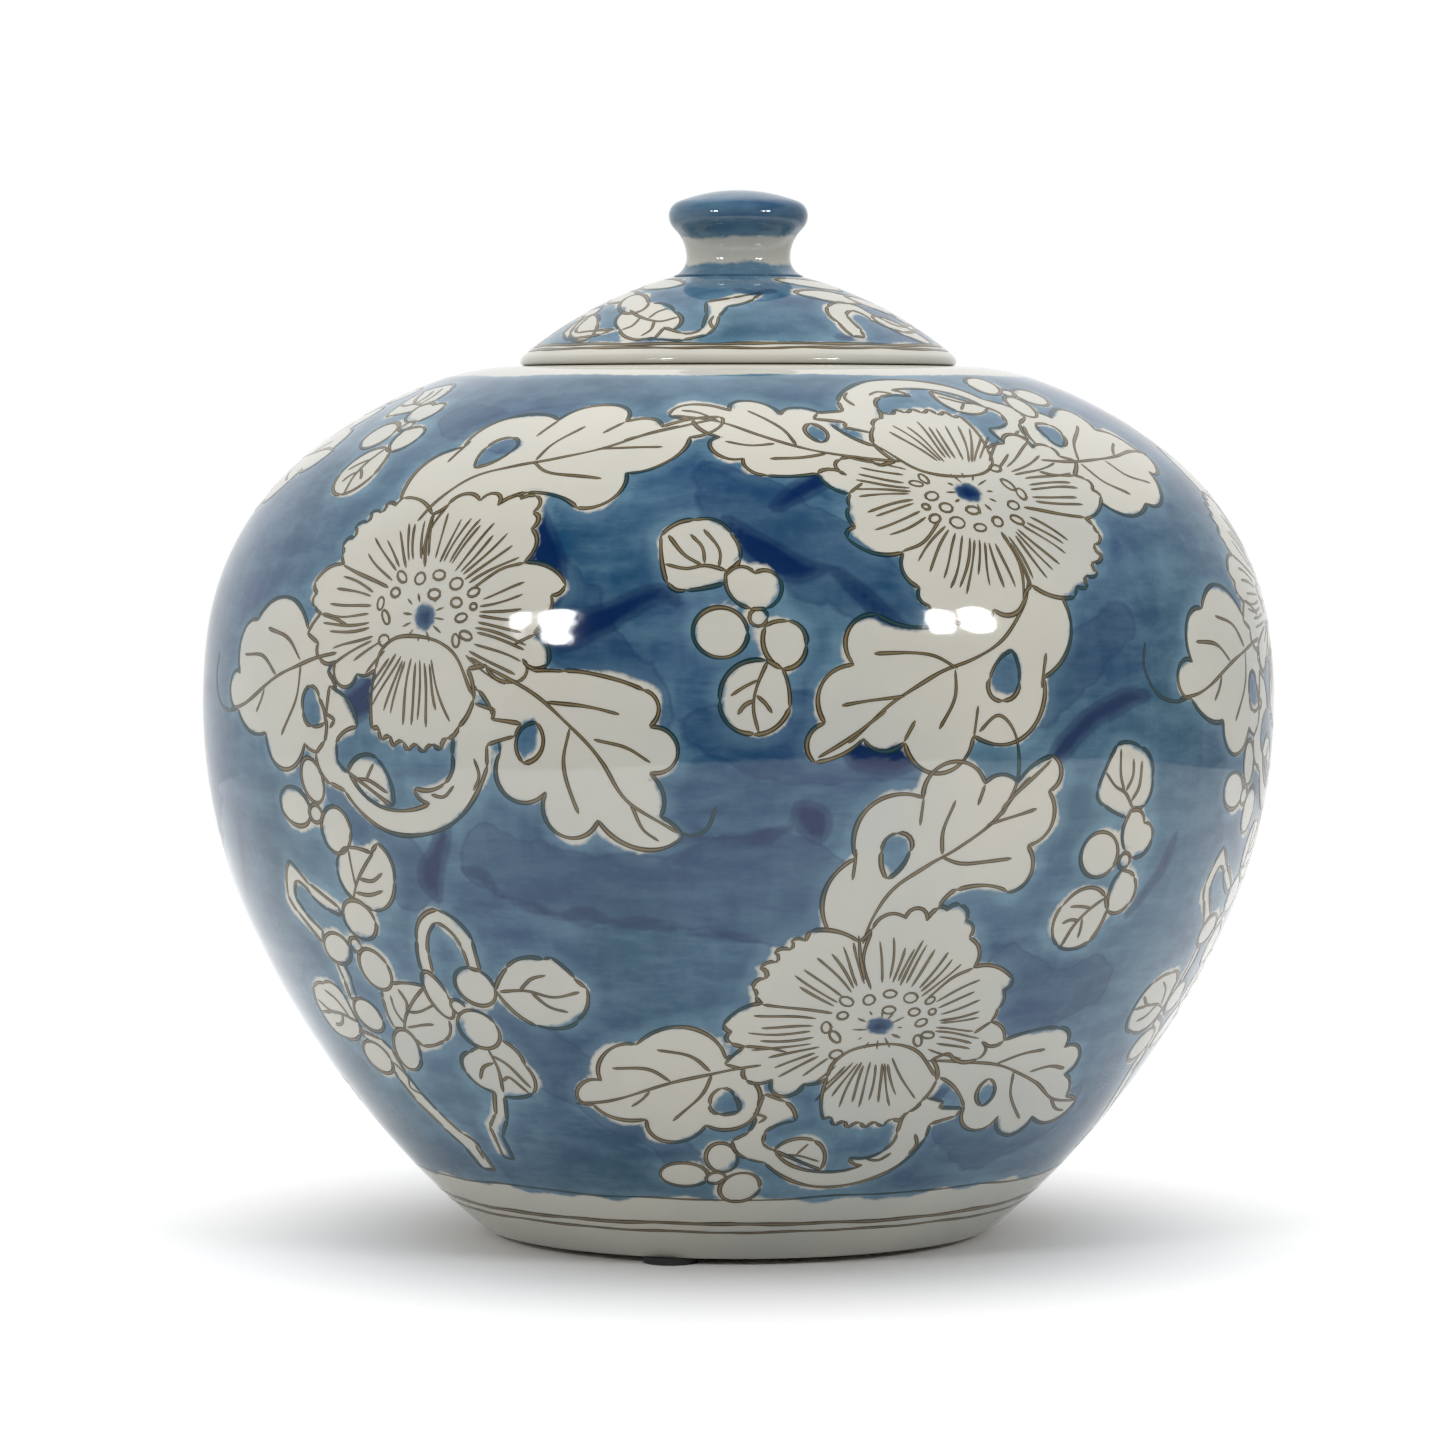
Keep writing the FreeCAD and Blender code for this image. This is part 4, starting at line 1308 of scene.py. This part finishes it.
def make_floor():
    """A round sheet of pale paper."""
    turn = full_turn(FLOOR_CORNERS)
    points = np.stack([np.cos(turn), np.sin(turn), np.zeros(FLOOR_CORNERS)], 1) * FLOOR_REACH
    mesh = bpy.data.meshes.new("floor")
    mesh.from_pydata(points.tolist(), [], [list(range(FLOOR_CORNERS))])
    floor = finish_mesh("floor", mesh)
    floor.data.materials.append(paper_material())


def aim(thing, target):
    direction = np.array(target) - np.array(thing.location)
    flat = math.hypot(direction[0], direction[1])
    lift = math.pi / 2 + math.atan2(direction[2], flat)
    thing.rotation_euler = (lift, 0, math.atan2(-direction[0], direction[1]))


def add_lamp(name, azimuth, elevation, width, power):
    """A round soft light that points at the jar."""
    light = bpy.data.lights.new(name, "AREA")
    light.shape = "DISK"
    light.size = width
    light.energy = power
    lamp = bpy.data.objects.new(name, light)
    turn = math.radians(azimuth)
    lift = math.radians(elevation)
    direction = (math.cos(lift) * math.sin(turn), -math.cos(lift) * math.cos(turn), math.sin(lift))
    lamp.location = LAMP_DISTANCE * np.array(direction) + LAMP_AIM
    bpy.context.scene.collection.objects.link(lamp)
    aim(lamp, LAMP_AIM)
    return lamp


def make_lamps():
    for lamp in LAMPS:
        add_lamp(*lamp)
    overhead = add_lamp(*OVERHEAD_PANEL)
    overhead.visible_glossy = False


def make_world():
    """A white tent that the glaze mirrors, dark where it is open in front; the camera sees plain white."""
    world = bpy.data.worlds.new("tent")
    bpy.context.scene.world = world
    nodes = Nodes(world, "Background")
    x, y, z = nodes.direction()
    pitch = nodes.math("ARCTAN2", nodes.math("MAXIMUM", z, 0.0), nodes.math("MULTIPLY", y, -1.0))
    roof = nodes.ramp(pitch, math.radians(ROOF_EDGE[0]), math.radians(ROOF_EDGE[1]))
    walls = nodes.ramp(nodes.math("ABSOLUTE", x), *SIDE_EDGE)
    shade = nodes.ramp(x, *RIGHT_EDGE, 1.0, 1.0 - RIGHT_SHADE)
    white = nodes.math("MULTIPLY", nodes.math("MAXIMUM", roof, walls), shade)
    mirrored = nodes.math("MULTIPLY_ADD", white, TENT_STRENGTH, OPENING_STRENGTH)
    seen = nodes.node("ShaderNodeLightPath").outputs["Is Camera Ray"]
    nodes.join(nodes.math("MAXIMUM", mirrored, seen), nodes.shader.inputs["Strength"])
    nodes.shader.inputs["Color"].default_value = (1.0, 1.0, 1.0, 1)


def make_camera():
    camera = bpy.data.cameras.new("camera")
    camera.sensor_width = SENSOR
    camera.lens = LENS_PER_SENSOR * SENSOR
    placed = bpy.data.objects.new("camera", camera)
    placed.location = (CAMERA_SIDESTEP, -CAMERA_DISTANCE, CAMERA_HEIGHT)
    placed.rotation_euler = (math.radians(90 - CAMERA_TILT), 0, 0)
    bpy.context.scene.collection.objects.link(placed)
    bpy.context.scene.camera = placed


bpy.context.scene.view_settings.view_transform = "Standard"
make_pieces()
make_floor()
make_world()
make_lamps()
make_camera()
